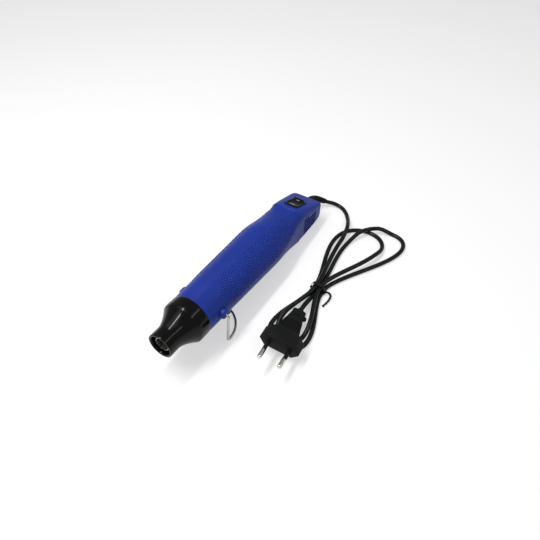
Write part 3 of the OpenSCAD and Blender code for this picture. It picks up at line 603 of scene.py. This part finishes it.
# Places of the shell's rings: even along the grip, close at the hip's step and at the tail's end
def shellStations():
    b = bodyShape
    places = [b["start"] + (b["hip"] - b["start"]) * i / 100 for i in range(101)]
    places += [b["hip"] + 0.05, b["tail"] - 0.2, b["tail"] - 0.1]
    places += [b["tail"] + (b["corner"] - b["tail"]) * i / 20 for i in range(21)]
    places += [b["corner"] + (toolLength - b["corner"]) * (1 - (1 - i / 18) ** 1.6) for i in range(1, 19)]
    return places


def shellHalf(name, side):
    hip, tail = bodyShape["hip"], bodyShape["tail"]
    rows = [(s, 1) for s in shellStations()] + [(toolLength, share) for share in (0.93, 0.7, 0.35, 0)]

    def place(u, v):
        s, shrink = rows[round(u * (len(rows) - 1))]
        angle = side * math.pi * v
        p = bodyPoint(s, angle, shrink)
        if hip < s < tail - 0.05:
            p = bodyPoint(hip if s < hip + 0.3 else tail, angle)
            p.x = s
        p.z = side * max(abs(p.z), bodyShape["seam"])
        return p * mm

    return gridPiece(name, len(rows), bodyShape["around"] + 1, place)


def cylinderAcross(radius, s, w, low, high, vertices=48):
    bpy.ops.object.select_all(action="DESELECT")
    bpy.ops.mesh.primitive_cylinder_add(
        vertices=vertices,
        radius=radius * mm,
        depth=(high - low) * mm,
        location=(s * mm, (low + high) / 2 * mm, w * mm),
        rotation=(math.pi / 2, 0, 0),
    )
    applyPlace(bpy.context.object)
    return bpy.context.object


def cylinderUp(radius, s, y, low, high, vertices=48):
    bpy.ops.object.select_all(action="DESELECT")
    bpy.ops.mesh.primitive_cylinder_add(
        vertices=vertices,
        radius=radius * mm,
        depth=(high - low) * mm,
        location=(s * mm, y * mm, (low + high) / 2 * mm),
    )
    applyPlace(bpy.context.object)
    return bpy.context.object


def boxAt(name, size, centre):
    bpy.ops.object.select_all(action="DESELECT")
    bpy.ops.mesh.primitive_cube_add(size=1, location=[c * mm for c in centre], scale=[v * mm for v in size])
    applyPlace(bpy.context.object)
    bpy.context.object.name = name
    return bpy.context.object


ventShape = {
    "count": 6,
    "pitch": 3.4,
    "width": 2.35,
    "length": 24,
    "shortest": 9,
    "start": 190,
    "low": -14,
    "aside": 18,
    "depth": 12,
    "underDeck": 5,
    "deckStart": 218,
}


def ventCutter():
    v = ventShape
    slots = []
    for side in (-1, 1):
        for i in range(v["count"]):
            w = v["low"] + i * v["pitch"]
            end = v["start"] + v["length"]
            if w > 0:
                limit = v["deckStart"] - (w + v["underDeck"]) / deckSlope
                end = min(end, max(v["start"] + v["shortest"], limit))
            size = (end - v["start"], v["depth"], v["width"])
            slot = boxAt("vent", size, ((v["start"] + end) / 2, side * v["aside"], w))
            bevelEdges(slot, lambda a, b: abs(a.y - b.y) > 5 * mm, v["width"] * 0.49 * mm, 6)
            slots.append(slot)
    return joinAll("vents", slots)


screwShape = {
    "places": [(66, 13.5), (66, -13.5), (146, 13), (146, -13)],
    "post": 3.9,
    "head": 2.9,
    "hole": 1.35,
}
bossShape = {
    "place": 54,
    "radius": 4.5,
    "inner": 17.7,
    "outer": 22.8,
    "rim": 0.9,
    "bore": 1.3,
    "notch": 4.8,
}
shellCuts = {"switchHole": (19.4, 13.4, 12), "switchDrop": -4, "seamRim": 0.28, "gland": 4.25}
switchPlace = (deckShape["switch"] * mm, 0, deckHeight(deckShape["switch"]) * mm)
deckPlace = Matrix.Translation(switchPlace) @ Matrix.Rotation(deckShape["angle"], 4, "Y")


def thicken(shell):
    wall = bodyShape["wall"] * mm
    modify(shell, "SOLIDIFY", thickness=wall, offset=-1, use_even_offset=True, use_rim=True)
    return shell


def makeUpperShell():
    shell = thicken(shellHalf("upperShell", 1))
    hole = boxAt("switchHole", shellCuts["switchHole"], (0, 0, shellCuts["switchDrop"]))
    hole.data.transform(deckPlace)
    notch = cylinderAcross(bossShape["notch"], bossShape["place"], 0, -30, 30, 64)
    cutAway(shell, joinAll("upperCuts", [notch, hole]))
    cutAway(shell, ventCutter())
    bevelEdges(shell, lambda a, b: onSeam(a) and onSeam(b), shellCuts["seamRim"] * mm, 2)
    return shell


def onSeam(p):
    return abs(p.z - bodyShape["seam"] * mm) < 0.02 * mm and outside(p)


# True where a point lies on the outer skin of the body, not on the inner wall
def outside(p):
    b = bodyShape
    s = min(max(p.x / mm, b["start"]), toolLength)
    skin = bodyPoint(b["tail"] if b["hip"] < s < b["tail"] else s, math.atan2(p.z, p.y))
    return math.hypot(p.y, p.z) > (math.hypot(skin.y, skin.z) - b["wall"] / 2) * mm or s > toolLength - 0.5


def makeLowerShell():
    shell = thicken(shellHalf("lowerShell", -1))
    b = bossShape
    inner, outer, rim = b["inner"], b["outer"], b["rim"] * mm
    for low, high, face in ((-outer, -inner, -outer), (inner, outer, outer)):
        boss = cylinderAcross(b["radius"], b["place"], 0, low, high, 64)
        bevelEdges(boss, lambda *ends: all(abs(p.y - face * mm) < 0.01 * mm for p in ends), rim, 4)
        cutAway(shell, boss, "UNION")
    for s, y in screwShape["places"]:
        cutAway(shell, cylinderUp(screwShape["post"], s, y, -14, -0.2), "UNION")
        cutAway(shell, cylinderUp(screwShape["head"], s, y, -30, -11))
        cutAway(shell, cylinderUp(screwShape["hole"], s, y, -12, 4))
    cutAway(shell, cylinderAcross(b["bore"], b["place"], 0, -30, 30, 48))
    gland = cylinderUp(shellCuts["gland"], 0, 0, -8, 8)
    glandPlace = Matrix.Translation((toolLength * mm, 0, reliefShape["drop"] * mm))
    gland.data.transform(glandPlace @ Matrix.Rotation(math.pi / 2, 4, "Y"))
    cutAway(shell, gland)
    cutAway(shell, ventCutter())
    return shell


def standOnTable(obj):
    makeActive(obj)
    bpy.ops.object.mode_set(mode="EDIT")
    bpy.ops.mesh.select_all(action="SELECT")
    bpy.ops.mesh.bisect(plane_co=(0, 0, 0.01 * mm), plane_no=(0, 0, 1), use_fill=True, clear_inner=True)
    bpy.ops.object.mode_set(mode="OBJECT")


upperShell = inTool(makeUpperShell())
smoothByAngle(upperShell, 32)
finish(upperShell, bluePlastic, node="upper_shell")
print("upper shell made")
lowerShell = inTool(makeLowerShell())
standOnTable(lowerShell)
smoothByAngle(lowerShell, 32)
finish(lowerShell, bluePlastic, node="lower_shell")
print("lower shell made")

# Grip: a field of small four-sided studs on both flanks, the +Y one first. Tops and bottoms are
# degrees up from each side
gripShape = {
    "from": 57,
    "to": 178,
    "pitch": 2.6,
    "tops": (48, 79),
    "bottoms": (-8, 3),
    "radius": 1.15,
    "height": 0.55,
    "sink": 0.05,
    "bodyRadius": 21,
    "offSeam": 0.95,
    "offBoss": 6,
}


def studMesh():
    bpy.ops.object.select_all(action="DESELECT")
    bpy.ops.mesh.primitive_circle_add(vertices=4, radius=gripShape["radius"] * mm, fill_type="NGON")
    stud = bpy.context.object
    bpy.ops.object.mode_set(mode="EDIT")
    for grow, share in ((0.78, 0.55), (0.45, 0.32), (0.4, 0.13)):
        rise = (0, 0, share * gripShape["height"] * mm)
        bpy.ops.mesh.extrude_region_move(TRANSFORM_OT_translate={"value": rise})
        bpy.ops.transform.resize(value=(grow, grow, 1))
    bpy.ops.object.mode_set(mode="OBJECT")
    return stud


def makeGrip():
    g = gripShape
    stud = studMesh()
    form = bmesh.new()
    columns = int((g["to"] - g["from"]) / g["pitch"])
    step = math.degrees(g["pitch"] / g["bodyRadius"])
    for side, top, bottom in zip((1, -1), g["tops"], g["bottoms"]):
        middle = (top + bottom) / 2
        rows = int((top - bottom) / step)
        for i in range(columns + 1):
            s = g["from"] + i * g["pitch"]
            reach = ease((s - g["from"]) / 16) * 0.85 + 0.15
            fade = ease((g["to"] - s) / 12)
            for k in range(rows + 1):
                angle = bottom + (k + 0.5 * (i % 2)) * step
                if abs(angle - middle) > (top - middle) * min(reach, fade * 0.5 + 0.5):
                    continue
                q = math.radians(angle if side > 0 else 180 - angle)
                p = bodyPoint(s, q)
                if abs(p.z) < g["offSeam"] or math.hypot(s - bossShape["place"], p.z) < g["offBoss"]:
                    continue
                normal = bodyNormal(s, q)
                turn = normal.to_track_quat("Z", "Y").to_matrix().to_4x4()
                seat = Matrix.Translation((p - g["sink"] * normal) * mm) @ turn
                first = len(form.verts)
                form.from_mesh(stud.data)
                form.verts.ensure_lookup_table()
                bmesh.ops.transform(form, matrix=seat, verts=form.verts[first:])
    bpy.data.objects.remove(stud)
    return pieceFromForm("gripDots", form)


gripDots = inTool(makeGrip())
smoothByAngle(gripDots, 60)
finish(gripDots, bluePlastic)
print("grip made")

# Nozzle: turned outline from the mouth to the spigot inside the body, and back along the bore
nozzleShape = {
    "mouth": 11.4,
    "tube": 10.5,
    "shoulder": 26,
    "flare": 1.6,
    "collar": 19.8,
    "end": 38,
    "spigot": 17.5,
    "spigotEnd": 46,
    "wall": 2.2,
}


def nozzleOutline():
    z = nozzleShape
    lip, collar, end = z["mouth"], z["collar"], z["end"]
    shoulder = collar - 0.7
    throat = lip - z["wall"]
    bore = z["spigot"] - z["wall"]
    outer = [(0.55, lip - 1.9), (0.15, lip - 1.6), (0, lip - 1.1), (0, lip - 0.6)]
    outer += [(0.12, lip - 0.22), (0.42, lip - 0.04), (0.9, lip)]
    outer += [(s, lip) for s in (2, 5, 8, 9.6)]
    for i in range(1, 25):
        t = i / 24
        s = z["tube"] - 0.6 + (z["shoulder"] - z["tube"] + 0.6) * t
        outer.append((s, lip + (shoulder - lip) * t ** z["flare"]))
    outer += [(z["shoulder"] + 0.35, shoulder + 0.28), (z["shoulder"] + 0.8, shoulder + 0.45)]
    outer += [(s, collar) for s in (z["shoulder"] + 3, end - 7, end - 4, end - 0.8)]
    outer += [(end - 0.3, collar - 0.1), (end - 0.05, collar - 0.35), (end, shoulder)]
    outer += [(end, z["spigot"]), (z["spigotEnd"], z["spigot"]), (z["spigotEnd"], bore)]
    inner = []
    for i in range(24):
        t = 1 - i / 24
        s = z["tube"] + (z["shoulder"] - z["tube"]) * t + 0.6
        inner.append((s, min(throat + (shoulder - lip) * t ** z["flare"], bore)))
    inner += [(s, throat) for s in (z["tube"], 5, 1.2)]
    return outer + inner


nozzle = inTool(spunPiece("nozzle", nozzleOutline(), 160))
smoothByAngle(nozzle, 38)
finish(nozzle, nozzlePlastic, node="nozzle_shroud")
print("nozzle turned")

# Stand: one wire, from boss to boss, down both legs and round the foot
standShape = {"half": 25.5, "bend": 2.6, "radius": 1.2, "lean": math.radians(9.5), "inner": 18.3}


def standPath():
    d = standShape
    pivot = toolPoint(bossShape["place"], 0, 0) / mm
    lean, bend = d["lean"], d["bend"]
    drop = (pivot.z - d["radius"] - bend * (1 + math.sin(lean))) / math.cos(lean)
    leg = [Vector((0, d["inner"], 0)), Vector((0, 20.5, 0))]
    for i in range(13):
        q = math.pi / 2 * i / 12
        leg.append(Vector((0, d["half"] - bend + bend * math.sin(q), -bend + bend * math.cos(q))))
    leg += [Vector((0, d["half"], -bend - (drop - bend) * k / 6)) for k in range(1, 6)]
    for i in range(15):
        q = (math.pi / 2 + lean) * i / 14
        leg.append(Vector((bend - bend * math.cos(q), d["half"], -drop - bend * math.sin(q))))
    half = [pivot + Matrix.Rotation(lean, 3, "Y") @ p for p in leg]
    foot = half[-1].x
    for i in range(1, 33):
        q = math.pi / 2 * i / 32
        half.append(Vector((foot + d["half"] * math.sin(q), d["half"] * math.cos(q), d["radius"])))
    return [p * mm for p in half] + [Vector((p.x, -p.y, p.z)) * mm for p in half[-2::-1]]


standWire = sweptPiece("standWire", standPath(), lambda i: standShape["radius"] * mm, 24)
finish(standWire, standSteel, body="stand", node="stand_wire")
print("stand bent")

# Switch: bezel, well and rocker on the deck
switchShape = {"length": 21, "width": 15, "height": 1.2, "depth": 11, "wellLength": 17.9, "wellWidth": 11.5}
rockerShape = {
    "length": 16.4,
    "width": 10.9,
    "dip": 2.2,
    "lift": 1.35,
    "hollow": 0.12,
    "bottom": 1.0,
    "axle": -1.6,
    "tilt": math.radians(8),
}


def onDeck(obj, extra=Matrix.Identity(4)):
    obj.data.transform(toolPlace @ deckPlace @ extra)
    return obj


# Point of a rectangle with rounded corners, at a share of the way round
def roundedOutline(halfLength, halfWidth, corner, share):
    quarter, part = divmod(share * 4, 1)
    side = quarter % 4
    q = math.pi / 2 * (side + min(max(part * 1.5 - 0.25, 0), 1))
    x = (halfLength - corner) * (1 if side in (0, 3) else -1)
    y = (halfWidth - corner) * (1 if side in (0, 1) else -1)
    return x + corner * math.cos(q), y + corner * math.sin(q)


# Rows of the switch body: half length, half width, corner and height, from the box over the bezel
# down into the well
def makeSwitchBody():
    w = switchShape
    a, b, h = w["length"] / 2, w["width"] / 2, w["height"]
    c, d = w["wellLength"] / 2, w["wellWidth"] / 2
    box, floor = -w["depth"], 2 - w["depth"]
    rows = [(0.01, 0.01, 0.005, box), (a - 1.1, b - 1.1, 0.5, box), (a - 1.1, b - 1.1, 0.5, 0.06)]
    rows += [(a - 0.15, b - 0.15, 1.05, 0.06), (a, b, 1.2, 0.2), (a, b, 1.2, h - 0.4)]
    rows += [(a - 0.1, b - 0.1, 1.1, h - 0.13), (a - 0.35, b - 0.35, 0.9, h)]
    rows += [(c + 0.25, d + 0.25, 0.7, h), (c + 0.06, d + 0.06, 0.5, h - 0.08), (c, d, 0.45, h - 0.3)]
    rows += [(c, d, 0.45, floor), (0.01, 0.01, 0.005, floor)]

    def place(u, v):
        halfLength, halfWidth, corner, z = rows[round(u * (len(rows) - 1))]
        x, y = roundedOutline(halfLength, halfWidth, corner, v)
        return Vector((x, y, z)) * mm

    return gridPiece("switchBezel", len(rows), 97, place)


def rockerHeight(x, y):
    r = rockerShape
    dish = r["dip"] + r["lift"] * (abs(x) / (r["length"] / 2)) ** 1.7
    return dish - r["hollow"] * (1 - (y / (r["width"] / 2)) ** 2)


# True where an edge lies on the rim round the rocker's face
def onRockerRim(a, b):
    r = rockerShape
    atEnd = all(abs(abs(p.x) - r["length"] / 2 * mm) < 0.01 * mm for p in (a, b))
    atSide = all(abs(abs(p.y) - r["width"] / 2 * mm) < 0.01 * mm for p in (a, b))
    return min(a.z, b.z) > 1.6 * mm and (atEnd or atSide)


def makeRocker():
    r = rockerShape
    bpy.ops.object.select_all(action="DESELECT")
    bpy.ops.mesh.primitive_grid_add(x_subdivisions=25, y_subdivisions=9, size=1)
    rocker = bpy.context.object
    rocker.name = "switchRocker"
    for v in rocker.data.vertices:
        x, y = v.co.x * r["length"], v.co.y * r["width"]
        v.co = Vector((x, y, rockerHeight(x, y))) * mm
    bpy.ops.object.mode_set(mode="EDIT")
    bpy.ops.mesh.select_all(action="SELECT")
    bpy.ops.mesh.extrude_region_move(TRANSFORM_OT_translate={"value": (0, 0, -1.6 * mm)})
    bpy.ops.object.mode_set(mode="OBJECT")
    for v in rocker.data.vertices:
        if v.select:
            v.co.z = r["bottom"] * mm
    mergeAndTurnOut(rocker)
    bevelEdges(rocker, onRockerRim, 0.35 * mm)
    foot = boxAt("rockerFoot", (8, r["width"], 4.2), (0, 0, -0.9))
    stub = cylinderAcross(1.0, 0, 0, -5.7, 5.7, 32)
    return joinAll("switchRocker", [rocker, foot, stub])


markShape = {"place": 4.9, "bar": (0.7, 3.2, 0.16), "ring": 1.45, "stroke": 0.33, "flat": 0.4}


def barMark():
    return boxAt("onMark", markShape["bar"], (0, 0, 0.06))


def ringMark():
    m = markShape
    bpy.ops.object.select_all(action="DESELECT")
    bpy.ops.mesh.primitive_torus_add(
        major_radius=m["ring"] * mm,
        minor_radius=m["stroke"] * mm,
        major_segments=40,
        minor_segments=8,
    )
    ring = bpy.context.object
    ring.name = "offMark"
    for v in ring.data.vertices:
        v.co.z *= m["flat"]
    return ring


def markPlace(x):
    slope = math.atan((rockerHeight(x + 0.1, 0) - rockerHeight(x - 0.1, 0)) / 0.2)
    seat = Matrix.Translation((x * mm, 0, (rockerHeight(x, 0) + 0.03) * mm))
    return rockerPlace @ seat @ Matrix.Rotation(-slope, 4, "Y")


rockerAxle = Matrix.Translation((0, 0, rockerShape["axle"] * mm))
rockerPlace = rockerAxle @ Matrix.Rotation(-rockerShape["tilt"], 4, "Y")
switchBody = onDeck(makeSwitchBody())
smoothByAngle(switchBody, 32)
finish(switchBody, switchPlastic, node="switch_body")
switchRocker = onDeck(makeRocker(), rockerPlace)
smoothByAngle(switchRocker, 32)
finish(switchRocker, switchPlastic, body="rocker", node="switch_rocker")
for makeMark, x in ((barMark, markShape["place"]), (ringMark, -markShape["place"])):
    mark = onDeck(makeMark(), markPlace(x))
    finish(mark, markWhite, body="rocker")
print("switch made")

# Plug: block, ribbed neck, pins and sleeves. x runs out of its face along the pins
plugPlace = (
    Matrix.Translation(Vector(plugShape["place"]) * mm)
    @ Matrix.Rotation(plugShape["turn"], 4, "Z")
    @ Matrix.Rotation(-plugShape["pitch"], 4, "Y")
    @ Matrix.Rotation(plugShape["roll"], 4, "X")
)


def makePlugBlock():
    flat, half, high, edge = plugShape["flat"] / 2, plugShape["width"] / 2, plugShape["height"] / 2, 0.6
    section = [(-flat, high), (-half, edge), (-half, -edge), (-flat, -high)]
    section += [(-y, z) for y, z in section[::-1]]
    bpy.ops.object.select_all(action="DESELECT")
    bpy.ops.mesh.primitive_circle_add(vertices=8, radius=1, fill_type="NGON")
    block = bpy.context.object
    for v, (y, z) in zip(block.data.vertices, section):
        v.co = Vector((0, y * mm, z * mm))
    bpy.ops.object.mode_set(mode="EDIT")
    bpy.ops.mesh.select_all(action="SELECT")
    for move, wide, high in ((-12.3, 1, 1), (-3.4, 0.72, 0.9), (-1.2, 0.94, 0.94)):
        bpy.ops.mesh.extrude_region_move(TRANSFORM_OT_translate={"value": (move * mm, 0, 0)})
        bpy.ops.transform.resize(value=(1, wide, high))
    bpy.ops.object.mode_set(mode="OBJECT")
    mergeAndTurnOut(block)
    modify(block, "BEVEL", width=0.75 * mm, segments=4, limit_method="ANGLE", angle_limit=math.radians(18))
    return block


neckShape = {
    "start": -17,
    "taper": 26,
    "half": 10.4,
    "narrowing": 4.9,
    "high": 5.5,
    "thinning": 1.7,
    "ribs": 6,
    "pitch": 2.05,
}


def neckSize(x):
    n = neckShape
    share = (n["start"] - x) / n["taper"]
    return n["half"] - n["narrowing"] * share**0.8, n["high"] - n["thinning"] * share


# Rows of the neck: place, half width, half height and squareness
def neckRows():
    end = -plugShape["length"]
    rows = [(-15.5, 10, 5.2, 5), (-17.3, 10, 5.2, 5)]
    for i in range(neckShape["ribs"]):
        x = -17.8 - neckShape["pitch"] * i
        half, high = neckSize(x)
        rows += [(x, half - 0.4, high - 0.5, 5), (x - 0.22, half + 0.2, high + 0.05, 5)]
        rows += [(x - 1.15, half + 0.05, high, 5), (x - 1.4, half - 0.45, high - 0.5, 5)]
    for x in (-30.3, -33, -36, -39.2):
        rows.append((x, *neckSize(x), 5))
    rows += [(-39.6, 5.5, 3.7, 5), (-40, 5.6, 3.8, 5), (-40.4, 6.1, 4.3, 5), (-42.4, 6, 4.3, 5)]
    rows += [(-43, 5.5, 3.9, 4.5), (-43.1, 3.4, 3.3, 3), (-43.3, 3.1, 3.1, 2)]
    rows += [(end + 0.4, 3.05, 3.05, 2), (end, 2.7, 2.7, 2), (end, 0, 0, 2)]
    return rows


def makePlugNeck():
    rows = neckRows()

    def place(u, v):
        x, half, high, n = rows[round(u * (len(rows) - 1))]
        q = 2 * math.pi * v
        return Vector((x, half * signedPower(math.cos(q), n), high * signedPower(math.sin(q), n))) * mm

    neck = gridPiece("plugNeck", len(rows), 65, place)
    for y in (-1.4, 1.4):
        cutAway(neck, cylinderUp(0.8, -36.1, y, 2.2, 6, 24))
    nub = cylinderUp(1.9, -38.2, 6.6, -1.5, 1.5, 24)
    bevelEdges(nub, lambda a, b: abs(a.z - b.z) < 0.001 * mm, 0.6 * mm)
    return joinAll("plugNeck", [neck, nub])


def atPins(obj, side):
    aside = Matrix.Translation((0, side * plugShape["pinSpacing"] / 2 * mm, 0))
    obj.data.transform(plugPlace @ aside @ Matrix.Rotation(-side * plugShape["toe"], 4, "Z"))
    return obj


# Outline of a pin beyond its sleeve, to its rounded tip
def pinOutline():
    start, end, r = plugShape["sleeveLength"] - 0.1, plugShape["pinLength"], plugShape["pinRadius"]
    outline = [(start, 0), (start, r - 0.05), (start + 0.1, r), (end - 1, r), (end - 0.55, r - 0.08)]
    return outline + [(end - 0.25, r - 0.3), (end - 0.07, r - 0.65), (end, r - 1.1), (end, 0)]


def sleeveOutline():
    end, r = plugShape["sleeveLength"], plugShape["sleeveRadius"]
    bore = r - 0.5
    return [(-0.6, bore), (-0.6, r), (end - 0.4, r), (end - 0.15, r - 0.1), (end, r - 0.3), (end, bore)]


plugBody = joinAll("plugBody", [makePlugBlock(), makePlugNeck()])
plugBody.data.transform(plugPlace)
smoothByAngle(plugBody, 30)
finish(plugBody, plugPlastic, node="plug_body")
pinPieces = []
sleevePieces = []
for side in (-1, 1):
    pinPieces.append(atPins(spunPiece("pin", pinOutline(), 48, closed=False), side))
    sleevePieces.append(atPins(spunPiece("sleeve", sleeveOutline(), 48), side))
plugPins = joinAll("plugPins", pinPieces)
pinSleeves = joinAll("pinSleeves", sleevePieces)
smoothByAngle(plugPins, 35)
smoothByAngle(pinSleeves, 35)
finish(plugPins, pinPlating, node="plug_pins")
finish(pinSleeves, sleevePlastic, node="pin_sleeves")
print("plug made")

# Tie: a flat band round the five runs, twisted into a short tail
tieShape = {"halfWidth": 7.4, "low": 0.9, "height": 10.3, "wire": 0.62, "twist": 0.5, "turns": 3.5}
bandSection = [(-1.5, 0.12), (-1.3, 0.3), (-0.3, 0.22), (0.3, 0.22)]
bandSection += [(1.3, 0.3), (1.5, 0.12), (1.3, -0.1), (-1.3, -0.1)]


# Marks round the five runs, as places across them and heights
def bandMarks():
    w, low, high = tieShape["halfWidth"], tieShape["low"], tieShape["height"]
    marks = [(-w, low + 1.2), (-w - 0.25, 3.4), (-w + 0.3, 5), (-5.6, 8.6), (-4.2, high - 0.35)]
    marks += [(-2.6, high - 0.1), (0, high - 0.2), (2.6, high - 0.1)]
    marks += [(4.2, high - 0.35), (5.6, 8.6), (w - 0.3, 5), (w + 0.25, 3.4), (w, low + 1.2)]
    marks += [(w - 0.9, low - 0.25), (w - 2.4, low - 0.6), (0, low - 0.65)]
    marks += [(2.4 - w, low - 0.6), (0.9 - w, low - 0.25)]
    return [Vector(mark) for mark in marks]


def makeBand():
    marks = bandMarks()
    form = bmesh.new()
    rings = []
    for i in range(len(marks) * 6):
        k, t = i // 6, i % 6 / 6
        a, b, c, d = (marks[(k + n) % len(marks)] for n in (-1, 0, 1, 2))
        p = smoothPoint(a, b, c, d, t)
        way = (c - a) * (1 - t) + (d - b) * t
        out = Vector((-way.y, way.x)).normalized()
        ring = []
        for x, rise in bandSection:
            flat = p + out * rise
            place = (cordShape["tieX"] + x, cordShape["tieY"] + flat.x, max(flat.y, 0.02))
            ring.append(form.verts.new(Vector(place) * mm))
        rings.append(ring)
    sides = len(bandSection)
    for ring, after in zip(rings, rings[1:] + rings[:1]):
        for k in range(sides):
            form.faces.new((ring[k], ring[(k + 1) % sides], after[(k + 1) % sides], after[k]))
    bmesh.ops.recalc_face_normals(form, faces=form.faces)
    return pieceFromForm("tieBand", form)


def makeTail():
    side = cordShape["tieY"] - tieShape["halfWidth"]
    marks = [(25, side, 3.5), (29, side - 7, 3), (21, side - 8, 1.5), (11, side - 5, 1.3)]
    ends = [Vector(mark) for mark in marks]
    path = [bezier(*ends, i / 60) * mm for i in range(61)]
    strands = []
    for half in (0, math.pi):
        twisted = []
        for i, point in enumerate(path):
            way = (path[min(i + 1, 60)] - path[max(i - 1, 0)]).normalized()
            aside = way.cross(Vector((0, 0, 1))).normalized()
            q = half + 2 * math.pi * tieShape["turns"] * i / 60
            shift = math.cos(q) * aside + math.sin(q) * way.cross(aside)
            twisted.append(point + tieShape["twist"] * mm * shift)
        strands.append(sweptPiece("tieStrand", twisted, lambda i: tieShape["wire"] * mm, 10))
    return strands


cordTie = joinAll("cordTie", [makeBand()] + makeTail())
smoothByAngle(cordTie, 40)
finish(cordTie, tiePlastic, node="cord_tie")
print("tie made")

tuple(cordPath[0])
[tuple(p) for p in cordPath]

# Pieces that keep their CAD form
for node, material in {
    "air_tube": tubeSteel,
    "tube_spider": tubeSteel,
    "mica_sleeve": mica,
    "heater_former": mica,
    "heater_coil": heaterWirePaintedShade,
    "air_funnel": innerPlastic,
    "thermal_cutout": ceramic,
    "fan_impeller": fanPlastic,
    "motor_shaft": canSteel,
    "fan_duct": innerPlastic,
    "motor": canSteel,
    "motor_endcap": innerPlastic,
    "motor_clamp": innerPlastic,
    "rectifier_board": boardGreen,
    "rectifier_parts": componentBlack,
    "switch_terminals": brass,
    "motor_wires": wireRed,
    "mains_wires": cordSheath,
    "cord_clamp": innerPlastic,
    "clamp_screws": canSteel,
    "shell_screws": canSteel,
}.items():
    dressNode(node, material)
print("inner pieces dressed")

# Floor, world and lights
stageShape = {"floor": (0.90, 0.90, 0.905), "size": 8, "glow": 0.5, "world": 0.37}


def makeFloor():
    bpy.ops.object.select_all(action="DESELECT")
    bpy.ops.mesh.primitive_plane_add(size=stageShape["size"])
    floor = bpy.context.object
    floor.name = "studioFloor"
    material, nodes, links, shader = newMaterial("paleFloor")
    coords = nodes.new("ShaderNodeTexCoord").outputs["Object"]
    cloud = addNoise(nodes, links, coords, 3, 2)
    base = stageShape["floor"]
    paler = tuple(min(1, v + 0.02) for v in base)
    links.new(addRamp(nodes, links, cloud.outputs["Fac"], base, paler), shader.inputs["Base Color"])
    shader.inputs["Roughness"].default_value = 0.7
    glow = nodes.new("ShaderNodeEmission")
    glow.inputs["Color"].default_value = (1, 1, 1, 1)
    rays = nodes.new("ShaderNodeLightPath")
    seen = nodes.new("ShaderNodeMath")
    seen.operation = "MAXIMUM"
    links.new(rays.outputs["Is Camera Ray"], seen.inputs[0])
    links.new(rays.outputs["Is Glossy Ray"], seen.inputs[1])
    part = nodes.new("ShaderNodeMath")
    part.operation = "MULTIPLY"
    part.inputs[1].default_value = stageShape["glow"]
    links.new(seen.outputs["Value"], part.inputs[0])
    mix = nodes.new("ShaderNodeMixShader")
    links.new(part.outputs["Value"], mix.inputs["Fac"])
    links.new(shader.outputs["BSDF"], mix.inputs[1])
    links.new(glow.outputs["Emission"], mix.inputs[2])
    links.new(mix.outputs["Shader"], nodes["Material Output"].inputs["Surface"])
    floor.data.materials.append(material)


def makeWorld():
    world = bpy.data.worlds.new("studioWorld")
    bpy.context.scene.world = world
    world.use_nodes = True
    nodes, links = world.node_tree.nodes, world.node_tree.links
    dim = nodes["Background"]
    dim.inputs["Color"].default_value = (1, 1, 1, 1)
    dim.inputs["Strength"].default_value = stageShape["world"]
    bright = nodes.new("ShaderNodeBackground")
    bright.inputs["Color"].default_value = (1, 1, 1, 1)
    bright.inputs["Strength"].default_value = 1
    rays = nodes.new("ShaderNodeLightPath")
    mix = nodes.new("ShaderNodeMixShader")
    links.new(rays.outputs["Is Camera Ray"], mix.inputs["Fac"])
    links.new(dim.outputs["Background"], mix.inputs[1])
    links.new(bright.outputs["Background"], mix.inputs[2])
    links.new(mix.outputs["Shader"], nodes["World Output"].inputs["Surface"])


lights = {
    "keyLight": {"place": (-0.2, 0.35, 0.95), "aim": (0, 0, 0), "size": (1.0, 0.9), "power": 2.8},
    "topStrip": {"place": (-0.22, 0.2, 0.78), "aim": (-0.22, 0, 0), "size": (0.75, 0.07), "power": 5.0},
    "sideStrip": {"place": (0.05, -0.5, 0.65), "aim": (0.05, 0, 0), "size": (1.0, 0.06), "power": 1.1},
}


def makeLight(name, place, aim, size, power):
    way = Vector(aim) - Vector(place)
    bpy.ops.object.light_add(type="AREA", location=place, rotation=way.to_track_quat("-Z", "Y").to_euler())
    lamp = bpy.context.object
    lamp.name = name
    lamp.data.shape = "RECTANGLE"
    lamp.data.size, lamp.data.size_y = size
    lamp.data.energy = power


makeFloor()
makeWorld()
for name, lamp in lights.items():
    makeLight(name, **lamp)
print("stage lit")
